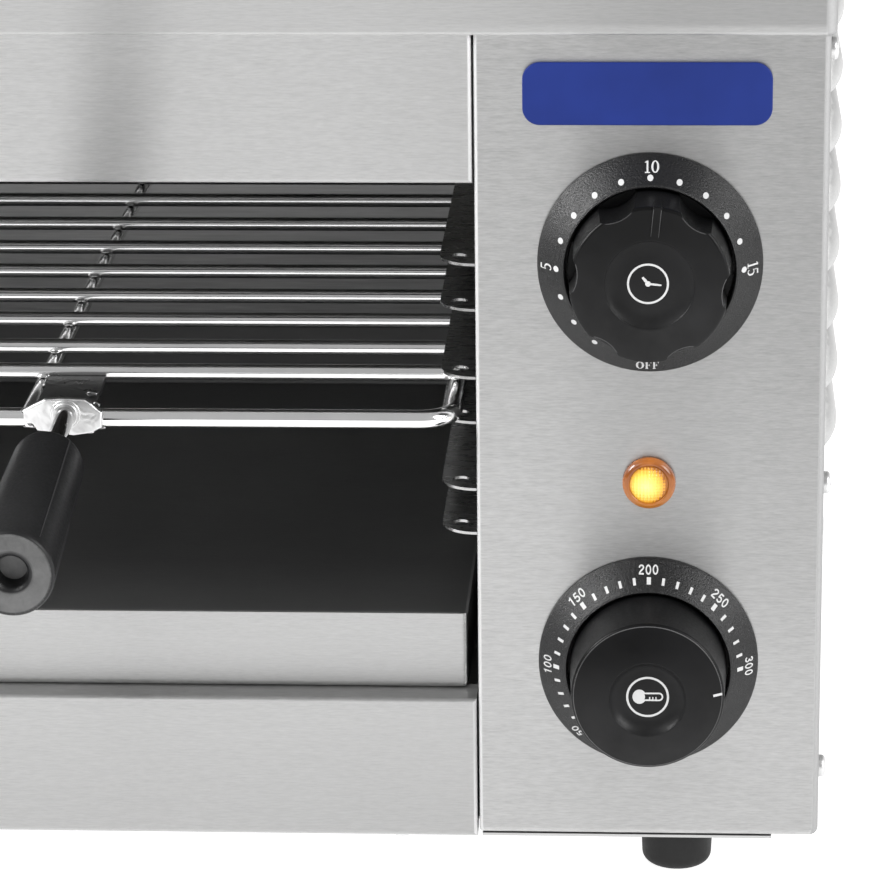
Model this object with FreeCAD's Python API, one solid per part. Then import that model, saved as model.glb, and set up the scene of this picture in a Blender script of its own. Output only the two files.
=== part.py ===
import FreeCAD, Part
import os
import math

# Salamander-type toaster grill: open-fronted sheet-steel oven with a pull-out
# wire rack on side runners, a crumb tray, and a control box on the right.
# Millimetres. +X is the object's right-hand side seen from the front,
# the front faces -Y, +Z is up and Z = 0 is the surface under the feet.
# "d" below is the depth behind the front plane of the panels.

# ---------------------------------------------------------------- dimensions
FRONT_Y = -115.11       # Y of the front plane of the panels
HALF_W = 301.7          # half width over the front panels
DEPTH = 330.0           # front plane to outer face of the rear panel
T = 0.8                 # sheet thickness

FOOT_H = 18.5           # floor to underside of the base pan
Z_PAN = FOOT_H          # underside of base pan
Z_PB = 19.7             # bottom edge of the front panels
Z_LID = 262.0           # lower edge of the lid skirt
Z_TOP = 280.0           # top of the lid
Z_PT = 279.1            # top of the front panels, inside the lid

CP_X0 = 201.2           # control panel, left edge (right edge is HALF_W)
CP_RET_L = 10.0         # depth of its left return
CP_RET_R = 18.0         # depth of its right return
POST_X1 = -281.2        # right edge of the left front post
GAP_UP = 0.55           # joint between upper panel and control panel
GAP_LO = 0.55           # joint between lower panel and control panel

UP_Z0 = 218.9           # lower edge of the upper front panel
LO_Z0 = 18.5            # bottom edge of the lower front panel
LO_Z1 = 62.4            # top of the lower front panel

WALL_X0, WALL_X1 = -282.2, 202.2   # inner faces of the oven side walls
CAV_D1 = 322.0          # depth of the oven, to its back wall
CEIL_Z = 255.2          # underside of the ceiling reflector

DIAL_X = 251.2          # common centre line of dials and lamp
TIMER_Z = 196.0
LAMP_Z = 130.2
THERMO_Z = 75.1
BEZEL_R = 32.15
TIMER_BEZEL_RI, TIMER_BEZEL_H = 24.05, 9.6
THERMO_BEZEL_RI, THERMO_BEZEL_H = 23.6, 8.4
TIMER_KNOB_R0, TIMER_KNOB_R1, TIMER_KNOB_H = 23.4, 22.6, 24.8
THERMO_KNOB_R0, THERMO_KNOB_R1, THERMO_KNOB_H = 22.9, 22.05, 29.6
THERMO_CROWN = 2.7      # rise of its face from the rim to the dish
TIMER_REST_DEG = 5.5    # pointer, clockwise from the top
SHAFT_R = 3.0

RAIL_PITCH = 33.9       # between rack positions
RAIL_ZL = 146.4         # middle runner: centre of its lower flange
RAIL_ZU = 159.9         # middle runner: centre of its upper flange
RAIL_IN = 11.8          # inner edge of the flanges from the oven wall
RAIL_D0, RAIL_D1 = 4.6, 316.0
RAIL_HOLE_R = 2.5

ROD_R = 2.75            # rack frame rod
RUNG_R = 2.3
CROSS_R = 2.25
ROD_Z = 149.7           # centre of the frame rod
ROD_D0 = -3.0           # centre of the front rod
RUNG_D = (27.5, 53.5, 83.5, 111.1, 140.6, 170.4, 201.3, 233.7, 265.0)   # rungs, front to back
ROD_D1 = 296.0          # centre of the rear rod
ROD_BEND = 9.5
ROD_XR, ROD_XL = 194.3, -274.3
CROSS_X = (71.1, -151.1)
HANDLE_X = (82.9, -162.9)
HANDLE_DROP = 6.2       # degrees below level
STUD_R, STUD_FREE = 2.8, 33.2
GRIP_L, GRIP_R0, GRIP_R1 = 73.0, 10.2, 11.8
GRIP_OVAL = 1.06        # height over width of the grips

TRAY_X0, TRAY_X1 = -277.8, 197.8
TRAY_D0, TRAY_D1 = 8.0, 318.0
TRAY_Z0, TRAY_Z1 = 62.75, 86.2

LOUVRE_N, LOUVRE_PITCH = 8, 17.72
LOUVRE_ZB = 133.1       # bottom of the lowest louvre
LOUVRE_H = 15.5
LOUVRE_OUT = 5.6        # proud of the side panel
LOUVRE_D0, LOUVRE_D1 = 22.0, 112.0

FOOT_X, FOOT_DF, FOOT_DR = 260.0, 28.0, 300.0
FOOT_R = 11.2

V = FreeCAD.Vector
OUT = {}


# ---------------------------------------------------------------- helpers
def P(x, d, z):
    return V(x, FRONT_Y + d, z)


def box(x0, x1, d0, d1, z0, z1):
    return Part.makeBox(x1 - x0, d1 - d0, z1 - z0, P(x0, d0, z0))


def cyl(x, d, z, r, h, axis="y"):
    a = {"x": V(1, 0, 0), "y": V(0, 1, 0), "z": V(0, 0, 1)}[axis]
    return Part.makeCylinder(r, h, P(x, d, z), a)


def fuse(shapes):
    s = shapes[0]
    if len(shapes) > 1:
        s = s.fuse(shapes[1:])
    return s.removeSplitter()


def cut(s, tools):
    if not isinstance(tools, (list, tuple)):
        tools = [tools]
    return s.cut(tools)


def edges_where(s, test):
    found = []
    for e in s.Edges:
        pts = [v.Point for v in e.Vertexes]
        if len(pts) == 2 and test(pts[0], pts[1]):
            found.append(e)
    return found


def along(axis, fixed, tol=0.02):
    """edges parallel to an axis whose other coordinates match the given ones"""
    i = {"x": 0, "y": 1, "z": 2}[axis]

    def test(a, b):
        for k in range(3):
            if k == i:
                if abs(a[k] - b[k]) < 0.5:
                    return False
            elif abs(a[k] - b[k]) > tol:
                return False
        for k, vals in fixed.items():
            k = {"x": 0, "y": 1, "z": 2}[k]
            if min(abs(a[k] - v) for v in vals) > tol:
                return False
        return True
    return test


def fillet(s, r, *tests):
    es = []
    for t in tests:
        es += edges_where(s, t)
    if not es:
        raise RuntimeError("no edges to round")
    return s.makeFillet(r, es)


def turned(profile, cx, cz, axis_shift=0.0):
    """solid of revolution about a line along Y; profile is (radius, height
    in front of the panel plane)"""
    pts = [P(cx + r, -h, cz) for r, h in profile]
    face = Part.Face(Part.makePolygon(pts + [pts[0]]))
    return face.revolve(P(cx, 0, cz), V(0, 1, 0), 360)


def arc_profile(pts_edges, cx_, cz_):
    """revolve a wire given as a list of ('l'|'a', points) in (r, h)"""
    es = []
    for kind, q in pts_edges:
        q = [P(cx_ + r, -h, cz_) for r, h in q]
        if kind == "l":
            es.append(Part.LineSegment(q[0], q[1]).toShape())
        else:
            es.append(Part.Arc(q[0], q[1], q[2]).toShape())
    f = Part.Face(Part.Wire(es))
    return f.revolve(P(cx_, 0, cz_), V(0, 1, 0), 360)


def turned_z(profile, x, d):
    """solid of revolution about a vertical line; profile is (radius, z)"""
    pts = [P(x + r, d, z) for r, z in profile]
    face = Part.Face(Part.makePolygon(pts + [pts[0]]))
    return face.revolve(P(x, d, 0), V(0, 0, 1), 360)


def tube(points, r, bend):
    """round rod or wire along straight runs joined by tangent arcs"""
    pts = [V(p) for p in points]
    n = len(pts)
    edges = []
    start = pts[0]
    for i in range(1, n):
        if i < n - 1:
            a = (pts[i - 1] - pts[i]).normalize()
            b = (pts[i + 1] - pts[i]).normalize()
            ang = a.getAngle(b)
            t = bend / math.tan(ang / 2.0)
            p1 = pts[i] + a * t
            p2 = pts[i] + b * t
            bis = (a + b).normalize()
            c = pts[i] + bis * (bend / math.sin(ang / 2.0))
            mid = c - bis * bend
            if (p1 - start).Length > 1e-6:
                edges.append(Part.LineSegment(start, p1).toShape())
            edges.append(Part.Arc(p1, mid, p2).toShape())
            start = p2
        else:
            edges.append(Part.LineSegment(start, pts[i]).toShape())
    wire = Part.Wire(edges)
    dirn = (pts[1] - pts[0]).normalize()
    prof = Part.Wire(Part.makeCircle(r, pts[0], dirn))
    return wire.makePipeShell([prof], True, True)


def moved(s, v):
    s = s.copy()
    s.translate(v)
    return s


def mirror_x(s):
    return s.mirror(V(0, 0, 0), V(1, 0, 0))


def put(name, *solids):
    flat = []
    for s in solids:
        if s.ShapeType == "Compound":
            flat += list(s.Solids)
        elif s.ShapeType in ("Solid", "CompSolid"):
            flat += list(s.Solids)
        else:
            flat.append(Part.Solid(s))
    for s in flat:
        if not s.isValid() or s.Volume <= 0:
            raise RuntimeError("bad solid in " + name)
    OUT[name] = flat


# ================================================================ casing
# base pan: flat sheet inside the line of the side panels, with an upturned
# front edge behind the lower panel and ventilation slots under the controls
BASE_SCREWS = [(sx * 278.0, dd) for sx in (-1, 1) for dd in (70.0, 165.0, 250.0)]
BASE_SCREWS += [(196.0, dd) for dd in (70.0, 165.0, 250.0)]
FRONT_SCREW_X, FRONT_SCREW_D = (177.6, -40.0, -257.6), 6.5
BASE_SCREWS += [(x, FRONT_SCREW_D) for x in FRONT_SCREW_X]
LIP_D = 13.6            # where the pan steps up on to the return of the lower panel
pan = fuse([box(-288, 288, LIP_D, 328.0, Z_PAN, Z_PAN + T),
            box(-288, -281.6, 1.0, LIP_D + 1, Z_PAN, Z_PAN + T),
            box(202.0, 288, 1.0, LIP_D + 1, Z_PAN, Z_PAN + T),
            box(-270.0, 190.0, LIP_D, LIP_D + T, Z_PAN, Z_PAN + 2 * T + 0.05),
            box(-270.0, 190.0, 2.4, LIP_D + T, Z_PAN + T + 0.05, Z_PAN + 2 * T + 0.05)])
holes = []
for sx in (-1, 1):
    for dd in (FOOT_DF, FOOT_DR):
        holes.append(cyl(sx * FOOT_X, dd, Z_PAN - 1, 2.2, 4, "z"))
for x, dd in BASE_SCREWS:
    holes.append(cyl(x, dd, Z_PAN - 1, 1.75, 4, "z"))
for i in range(6):
    x = 218.0 + i * 9.5
    holes.append(box(x, x + 3.2, 120, 170, Z_PAN - 1, Z_PAN + 2))
pan = cut(pan, holes)
put("base_pan", pan)


def louvre(z0):
    """pressed louvre: the outer bulge, and the inner space cut out of it"""
    def section(y, out, height, k):
        def q(x, z):
            return V(-0.9 + (x + 0.9) * k, y, z0 + z * k)
        return Part.Wire([
            Part.LineSegment(q(-0.9, 0), q(out * 0.45, 0)).toShape(),
            Part.Arc(q(out * 0.45, 0), q(out * 0.86, 2.6), q(out, 6.8)).toShape(),
            Part.Arc(q(out, 6.8), q(out * 0.78, 11.0), q(0.0, height)).toShape(),
            Part.LineSegment(q(0.0, height), q(-0.9, height)).toShape(),
            Part.LineSegment(q(-0.9, height), q(-0.9, 0)).toShape()])

    def body(out, height, inset):
        y0, y1 = LOUVRE_D0 + inset, LOUVRE_D1 - inset
        end = LOUVRE_END - inset
        mid = Part.Face(section(y0 + end, out, height, 1.0)).extrude(V(0, y1 - y0 - 2 * end, 0))
        parts = [mid]
        for ya, sg in ((y0, 1.0), (y1, -1.0)):
            ws = []
            for t in (0.02, 0.12, 0.3, 0.6, 1.0):
                k = math.sqrt(1.0 - (1.0 - t) ** 2)
                ws.append(section(ya + sg * end * t, out, height, k))
            parts.append(Part.makeLoft(ws, True, False))
        return parts
    return body(LOUVRE_OUT, LOUVRE_H, 0.0), body(LOUVRE_OUT - T, LOUVRE_H - 1.4, 1.0)


LOUVRE_END = 16.0
SIDE_X = HALF_W - T           # outer face of the side panels


def side_panel():
    x1 = SIDE_X
    s = box(x1 - T, x1, 1.6, 329.2, Z_PB + 0.9, 276.0)
    s = fuse([s,
              box(x1 - T, x1, 19.0, 329.2, Z_PAN + T + 0.1, Z_PB + 2.0),
              box(x1 - 27, x1 - T / 2, 19.0, 328.0, Z_PAN + T + 0.1, Z_PAN + 2 * T + 0.1),
              box(x1 - 13, x1 - T / 2, 328.4, 329.2, Z_PB + 2.0, 276.0)])
    outer, inner = [], []
    for i in range(LOUVRE_N):
        o, n = louvre(LOUVRE_ZB + i * LOUVRE_PITCH)
        o = o[0].fuse(o[1:])
        n = n[0].fuse(n[1:])
        outer.append(moved(o, V(x1, FRONT_Y, 0)))
        inner.append(moved(n, V(x1, FRONT_Y, -0.05)))
    s = s.fuse(outer)
    s = s.cut(inner)
    # the way through the sheet under each louvre
    slots = [box(x1 - T - 0.5, x1 + 0.2, LOUVRE_D0 + 6, LOUVRE_D1 - 6,
                 LOUVRE_ZB + i * LOUVRE_PITCH - 0.01,
                 LOUVRE_ZB + i * LOUVRE_PITCH + 6.0) for i in range(LOUVRE_N)]
    s = s.cut(slots)
    s = s.removeSplitter()
    hs = [cyl(x1 - 2, 10.0, z, 1.75, 4, "x") for z in SIDE_SCREW_Z]
    hs += [cyl(x1 - 2, 32.0, SIDE_SCREW_Z1, 1.75, 4, "x")]
    hs += [cyl(x1 - 2, 318.0, z, 1.75, 4, "x") for z in SIDE_SCREW_Z]
    hs += [cyl(278.0, dd, Z_PAN, 1.75, 4, "z") for dd in (70.0, 165.0, 250.0)]
    hs += [cyl(x, 326.0, z, 1.75, 5) for x, z in REAR_SCREWS if x > 0]
    s = s.cut(hs)
    return s


SIDE_SCREW_Z = (38.4, 127.2, 256.1)
SIDE_SCREW_Z1 = 106.6
REAR_SCREWS = [(-293.0, 40.0), (-293.0, 148.0), (-293.0, 250.0),
               (293.0, 40.0), (293.0, 148.0), (293.0, 250.0)]
right_side = side_panel()
put("right_side_panel", right_side)
put("left_side_panel", mirror_x(right_side))

# rear panel with two fields of ventilation slots and the cable-gland hole
rear = box(-SIDE_X, SIDE_X, DEPTH - T, DEPTH, Z_PB, 276.0)
GLAND_X, GLAND_Z = 252.0, 48.0
hs = [cyl(GLAND_X, DEPTH - 3, GLAND_Z, 8.1, 6)]
for i in range(9):
    z = 150.0 + i * 10.0
    hs.append(box(222, 282, DEPTH - 3, DEPTH + 2, z, z + 3.0))
for i in range(9):
    x = -225.0 + i * 44.0
    hs.append(box(x, x + 30, DEPTH - 3, DEPTH + 2, 262.0 - 22, 262.0 - 19))
for x, z in REAR_SCREWS:
    hs.append(cyl(x, DEPTH - 3, z, 1.75, 6))
rear = rear.cut(hs)
put("rear_panel", rear)

# lid: shallow folded cover whose skirt overlaps the panels and ends in a
# closed hem
LX = HALF_W + 1.6
LD0, LD1 = -1.6, DEPTH + 1.6
TL = 0.8
y0, y1 = FRONT_Y + LD0, FRONT_Y + LD1
lid = box(-LX, LX, LD0, LD1, Z_LID, Z_TOP)
lid = fillet(lid, 3.4, along("z", {"x": (-LX, LX), "y": (y0, y1)}))
lid = lid.makeFillet(1.6, [e for e in lid.Edges
                           if all(abs(v.Point.z - Z_TOP) < 0.01 for v in e.Vertexes)])
hollow = box(-LX + TL, LX - TL, LD0 + TL, LD1 - TL, Z_LID - 1, Z_TOP - TL)
hollow = fillet(hollow, 2.6, along("z", {"x": (-LX + TL, LX - TL), "y": (y0 + TL, y1 - TL)}))
hem_band = box(-LX + 2 * TL - 0.05, LX - 2 * TL + 0.05, LD0 + 2 * TL - 0.05, LD1 - 2 * TL + 0.05, Z_LID - 1, Z_TOP)
upper_hollow = box(-LX + TL, LX - TL, LD0 + TL, LD1 - TL, Z_LID + 7.0, Z_TOP - TL)
upper_hollow = fillet(upper_hollow, 2.6, along("z", {"x": (-LX + TL, LX - TL), "y": (y0 + TL, y1 - TL)}))
lid = lid.cut([hollow.common(hem_band), upper_hollow])
hem_edges = [e for e in lid.Edges
             if all(abs(v.Point.z - Z_LID) < 0.01 for v in e.Vertexes)
             and (min(abs(v.Point.x) for v in e.Vertexes) > LX - 3.5
                  or all(v.Point.y < y0 + 0.01 or v.Point.y > y1 - 0.01 for v in e.Vertexes))
             and all(abs(abs(v.Point.x) - LX) < 3.5 or v.Point.y < y0 + 0.01 or v.Point.y > y1 - 0.01
                     for v in e.Vertexes)]
outer_edges = []
for e in hem_edges:
    c = e.CenterOfMass
    if abs(abs(c.x) - LX) < 1.05 or c.y < y0 + 1.05 or c.y > y1 - 1.05:
        outer_edges.append(e)
lid = lid.makeFillet(1.1, outer_edges)
# the skirt is cut short at the sides, clear of the topmost louvres
lid = lid.cut([box(sx * LX - 4.0, sx * LX + 4.0, 12.0, DEPTH - 12.0, Z_LID - 2, 274.6) for sx in (-1, 1)])
put("lid", lid)

# control panel: folded pan, deepest on the outer side
def folded_front(inner_x, outer_x):
    """panel blank: tight fold on the oven side, wider folds outside and below
    with a rounded bottom corner"""
    a, b = min(inner_x, outer_x), max(inner_x, outer_x)
    blank = box(a, b, 0, CP_RET_R, Z_PB, Z_PT)
    blank = fillet(blank, 2.6, along("y", {"x": (outer_x,), "z": (Z_PB,)}))
    es = [e for e in blank.Edges if all(abs(v.Point.y - FRONT_Y) < 0.01 for v in e.Vertexes)
          and not all(abs(v.Point.x - inner_x) < 0.01 for v in e.Vertexes)
          and not all(abs(v.Point.z - Z_PT) < 0.01 for v in e.Vertexes)]
    blank = blank.makeFillet(1.9, es)
    inner = [e for e in blank.Edges if all(abs(v.Point.x - inner_x) < 0.01 for v in e.Vertexes)
             and all(v.Point.y < FRONT_Y + 2.5 for v in e.Vertexes)
             and abs(e.Vertexes[0].Point.z - e.Vertexes[-1].Point.z) > 100]
    return blank.makeFillet(1.1, inner)


cp = folded_front(CP_X0, HALF_W)
cp = cp.cut([box(CP_X0 + T, HALF_W - T, T, CP_RET_R + 1, Z_PB + T, Z_PT - T),
             box(CP_X0 - 1, CP_X0 + T + 0.01, CP_RET_L, CP_RET_R + 1, Z_PB - 1, Z_PT + 1),
             box(CP_X0 - 1, HALF_W - T - 0.01, 12.0, CP_RET_R + 1, Z_PB - 1, Z_PB + T + 0.01),
             box(CP_X0 - 1, HALF_W - T - 0.01, 12.0, CP_RET_R + 1, Z_PT - T - 0.01, Z_PT + 1)])
hs = [cyl(DIAL_X, -1, TIMER_Z, 5.2, 4), cyl(DIAL_X, -1, THERMO_Z, 5.2, 4),
      cyl(DIAL_X, -1, LAMP_Z, 6.1, 4)]
for zc in (TIMER_Z, THERMO_Z):
    for sx in (-14, 14):
        hs.append(cyl(DIAL_X + sx, -1, zc, 2.1, 4))
for z in SIDE_SCREW_Z:
    hs.append(cyl(HALF_W - 2, 10.0, z, 2.2, 4, "x"))
cp = cp.cut(hs)
put("control_panel", cp)

# left front post
post = folded_front(POST_X1, -HALF_W)
post = post.cut([box(-HALF_W + T, POST_X1 - T, T, CP_RET_R + 1, Z_PB + T, Z_PT - T),
                 box(POST_X1 - T - 0.01, POST_X1 + 1, CP_RET_L, CP_RET_R + 1, Z_PB - 1, Z_PT + 1),
                 box(-HALF_W + T + 0.01, POST_X1 + 1, 12.0, CP_RET_R + 1, Z_PB - 1, Z_PB + T + 0.01),
                 box(-HALF_W + T + 0.01, POST_X1 + 1, 12.0, CP_RET_R + 1, Z_PT - T - 0.01, Z_PT + 1)]
                + [cyl(-HALF_W - 2, 10.0, z, 2.2, 4, "x") for z in SIDE_SCREW_Z])
put("left_front_post", post)

# upper front panel, in front of the elements
UX0, UX1 = POST_X1 + GAP_LO, CP_X0 - GAP_UP
up = box(UX0, UX1, 0, 14.0, UP_Z0, Z_PT)
up = fillet(up, 1.2, along("z", {"x": (UX0, UX1), "y": (FRONT_Y,)}),
            along("x", {"z": (UP_Z0,), "y": (FRONT_Y,)}))
up = up.cut([box(UX0 + T, UX1 - T, T, 15, UP_Z0 + T, Z_PT - T),
             box(UX0 - 1, UX0 + T + 0.01, 8.0, 15, UP_Z0 - 1, Z_PT + 1),
             box(UX1 - T - 0.01, UX1 + 1, 8.0, 15, UP_Z0 - 1, Z_PT + 1)])
put("upper_front_panel", up)

# lower front panel, under the crumb tray
LOX0, LOX1 = POST_X1 + GAP_LO, CP_X0 - GAP_LO
lo = box(LOX0, LOX1, 0, LIP_D - 0.4, LO_Z0, LO_Z1)
lo = fillet(lo, 1.2, along("z", {"x": (LOX0, LOX1), "y": (FRONT_Y,)}),
            along("x", {"z": (LO_Z0, LO_Z1), "y": (FRONT_Y,)}))
lo = lo.cut([box(LOX0 + T, LOX1 - T, T, 14, LO_Z0 + T, LO_Z1 - T),
             box(LOX0 - 1, LOX0 + T + 0.01, 8.0, 14, LO_Z0 - 1, LO_Z1 - T - 0.01),
             box(LOX1 - T - 0.01, LOX1 + 1, 8.0, 14, LO_Z0 - 1, LO_Z1 - T - 0.01),
             box(LOX0 - 1, LOX1 + 1, 12.0, 14, LO_Z1 - T - 0.5, LO_Z1 + 1)]
            + [cyl(x, FRONT_SCREW_D, LO_Z0 - 1, 1.75, 3, "z") for x in FRONT_SCREW_X])
put("lower_front_panel", lo)

# ================================================================ oven box
WALL_Z0, WALL_Z1 = Z_PAN + 2 * T + 0.15, 255.1
WALL_D0 = 10.4
rw = box(WALL_X1, WALL_X1 + T, WALL_D0, CAV_D1, WALL_Z0, WALL_Z1)
lw = box(WALL_X0 - T, WALL_X0, WALL_D0, CAV_D1, WALL_Z0, WALL_Z1)
rw = fuse([rw, box(WALL_X1, WALL_X1 + T, 20.0, CAV_D1, Z_PAN + T + 0.1, WALL_Z0 + 2),
           box(WALL_X1 - 12, WALL_X1 + T / 2, 20.0, CAV_D1, Z_PAN + T + 0.1, Z_PAN + 2 * T + 0.1)])
lw = fuse([lw, box(WALL_X0 - T / 2, WALL_X0 + 12, 20.0, CAV_D1, WALL_Z0, WALL_Z0 + T)])
lw = lw.cut([cyl(-278.0, dd, Z_PAN, 1.75, 6, "z") for dd in (70.0, 165.0, 250.0)])
ELEM_D = (70.0, 165.0, 260.0)      # centre of each hairpin element
ELEM_SPAN = 26.0                   # half distance between its legs
ELEM_Z = 238.0
ELEM_R = 3.6
holes = []
for dc in ELEM_D:
    for s in (-1, 1):
        holes.append(cyl(WALL_X1 - 2, dc + s * ELEM_SPAN, ELEM_Z, 6.6, 6, "x"))
BULB_Z, BULB_D = 214.0, 300.0
holes.append(cyl(WALL_X1 - 2, BULB_D, BULB_Z, 2.6, 6, "x"))
holes += [cyl(196.0, dd, Z_PAN, 1.75, 6, "z") for dd in (70.0, 165.0, 250.0)]
rw = rw.cut(holes)
put("oven_right_wall", rw)
put("oven_left_wall", lw)
put("oven_back_wall", box(WALL_X0 - T, WALL_X1 + T, CAV_D1 + 0.1, CAV_D1 + 0.1 + T, WALL_Z0, WALL_Z1))

shelf = box(WALL_X0 + 0.2, WALL_X1 - 0.2, 12.2, CAV_D1 - 0.1, LO_Z1 - T, LO_Z1)
shelf = fuse([shelf,
              box(WALL_X0 + 0.2, WALL_X0 + 1.0, 12.2, CAV_D1 - 0.1, LO_Z1 - 14, LO_Z1 - T / 2),
              box(WALL_X1 - 1.0, WALL_X1 - 0.2, 12.2, CAV_D1 - 0.1, LO_Z1 - 14, LO_Z1 - T / 2)])
put("tray_shelf", shelf)

# ceiling reflector with its front downturn behind the upper panel
refl = box(WALL_X0 - 8, WALL_X1 + 8, 15.4, CAV_D1 + 4, CEIL_Z, CEIL_Z + T)
refl = fuse([refl, box(WALL_X0 + 1.0, WALL_X1 - 1.0, 15.4, 15.4 + T, UP_Z0 + 3.0, CEIL_Z + T / 2)])
refl = refl.cut([cyl(x, dd, CEIL_Z - 2, 2.1, 5, "z") for x in (-200.0, -40.0, 120.0) for dd in (118.0, 212.0)])
put("ceiling_reflector", refl)
put("top_insulation", box(WALL_X0 + 2, WALL_X1 - 2, 20, CAV_D1 - 4, CEIL_Z + T + 1.3, 278.6))
side_ins = box(WALL_X1 + T + 0.3, WALL_X1 + T + 8.3, 24, CAV_D1 - 2, 66.0, 252.0)
side_ins = side_ins.cut([cyl(WALL_X1 - 1, dc + s * ELEM_SPAN, ELEM_Z, 9.6, 14, "x")
                         for dc in ELEM_D for s in (-1, 1)]
                        + [cyl(WALL_X1 - 1, BULB_D, BULB_Z, 6.0, 14, "x")])
put("side_insulation_board", side_ins)

# three hairpin tubular elements, feeding through the right wall
elems, bushes, nuts = [], [], []
for dc in ELEM_D:
    xe = WALL_X1 + 10.0
    xl = -252.0
    e = tube([P(xe, dc - ELEM_SPAN, ELEM_Z), P(xl, dc - ELEM_SPAN, ELEM_Z),
              P(xl, dc + ELEM_SPAN, ELEM_Z), P(xe, dc + ELEM_SPAN, ELEM_Z)], ELEM_R, ELEM_SPAN - 1.0)
    ends = [cyl(xe - 0.5, dc + s * ELEM_SPAN, ELEM_Z, 1.8, 10.5, "x") for s in (-1, 1)]
    elems.append(e.fuse(ends))
    for s in (-1, 1):
        dd = dc + s * ELEM_SPAN
        # flanged ceramic-filled bush clamped in the wall
        b = fuse([cyl(WALL_X1 - 2.6, dd, ELEM_Z, 9.0, 2.5, "x"),
                  cyl(WALL_X1 - 0.1, dd, ELEM_Z, 6.4, 8.5, "x")])
        b = b.cut(cyl(WALL_X1 - 4, dd, ELEM_Z, ELEM_R + 0.05, 16, "x"))
        bushes.append(b)
        n = cyl(WALL_X1 + T + 0.1, dd, ELEM_Z, 9.2, 3.0, "x").cut(cyl(WALL_X1, dd, ELEM_Z, 6.45, 8, "x"))
        nuts.append(n)
put("heating_elements", *elems)
put("element_bushes", *bushes)
put("element_clamp_nuts", *nuts)

# hanger strips that carry the elements under the reflector
hangers = []
for x in (-200.0, -40.0, 120.0):
    h = box(x - 0.6, x + 0.6, 36, 294, ELEM_Z - 6.0, CEIL_Z - 0.05 - 1.0)
    h = fuse([h, box(x - 6.0, x + 6.0, 36, 294, CEIL_Z - 1.25, CEIL_Z - 0.05)])
    tools = [cyl(x - 3, dc + s * ELEM_SPAN, ELEM_Z, ELEM_R + 0.25, 6, "x") for dc in ELEM_D for s in (-1, 1)]
    tools += [cyl(x, dd, CEIL_Z - 4, 2.1, 8, "z") for dd in (118.0, 212.0)]
    tools += [cyl(x, dd, CEIL_Z - 5, 3.7, 3.74, "z") for dd in (118.0, 212.0)]
    # the slots are open below so that an element can be lifted in
    hangers.append(h.cut(tools))
put("element_hangers", *hangers)
rivet_list = [fuse([cyl(x, dd, CEIL_Z - 1.25 - 1.2, 3.4, 1.2, "z"),
                             cyl(x, dd, CEIL_Z - 1.3, 2.0, 2.3, "z"),
                             cyl(x, dd, CEIL_Z + T, 3.4, 1.2, "z")])
              for x in (-200.0, -40.0, 120.0) for dd in (118.0, 212.0)]


# rack runners: three U-shaped channels on each wall
def rounded_flange(a, xi):
    """flange with a long curve at its front inner corner"""
    def corner(y):
        return [e for e in a.Edges if all(abs(v.Point.x - xi) < 0.01 and abs(v.Point.y - y) < 0.01 for v in e.Vertexes)
                and len(e.Vertexes) == 2 and abs(e.Vertexes[0].Point.z - e.Vertexes[1].Point.z) > 0.5]
    a = a.makeFillet(10.4, corner(FRONT_Y + RAIL_D0))
    return a.makeFillet(7.0, [e for e in a.Edges if len(e.Vertexes) == 2
                              and all(abs(v.Point.x - xi) < 0.01 and abs(v.Point.y - FRONT_Y - RAIL_D1) < 0.01
                                      for v in e.Vertexes)])


def runner(zc):
    zl, zu = RAIL_ZL + zc, RAIL_ZU + zc
    xi = WALL_X1 - RAIL_IN          # inner edge
    xw = WALL_X1 - 0.1              # back of the channel
    f = []
    for z in (zl, zu):
        a = box(xi, xw, RAIL_D0, RAIL_D1, z - T / 2, z + T / 2)
        a = rounded_flange(a, xi)
        a = a.cut([box(CP_X0 - 0.25, xw + 1, RAIL_D0 - 1, WALL_D0 + 0.2, z - 2, z + 2),
                   cyl(xi + 5.6, 13.6, z - 3, RAIL_HOLE_R, 6, "z"),
                   cyl(xi + 5.4, RAIL_D1 - 11.0, z - 3, RAIL_HOLE_R, 6, "z")])
        f.append(a)
    web = box(xw - T, xw, WALL_D0 + 0.4, RAIL_D1, zl - T / 2, zu + T / 2)
    s = fuse([web] + f)
    return s


rails = [runner(k * RAIL_PITCH) for k in (-1, 0, 1)]
put("rack_runners_right", *rails)
cx = (WALL_X0 + WALL_X1) / 2.0
left = []
for s in rails:
    m = mirror_x(s)
    m.translate(V(2 * cx, 0, 0))
    left.append(m)
put("rack_runners_left", *left)
rivets = []
for k in (-1, 0, 1):
    z = (RAIL_ZL + RAIL_ZU) / 2.0 + k * RAIL_PITCH
    for dd in (30.0, 290.0):
        rivets.append(fuse([cyl(WALL_X1 - 0.9 - 1.1, dd, z, 3.0, 1.1, "x"),
                            cyl(WALL_X1 + T, dd, z, 2.4, 0.25, "x")]))
        rivets[-1] = cyl(WALL_X1 - 2.0, dd, z, 3.0, 1.1, "x")
lr = []
for s in rivets:
    m = mirror_x(s)
    m.translate(V(2 * cx, 0, 0))
    lr.append(m)
put("rivets", *(rivet_list + rivets + lr))

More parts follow.
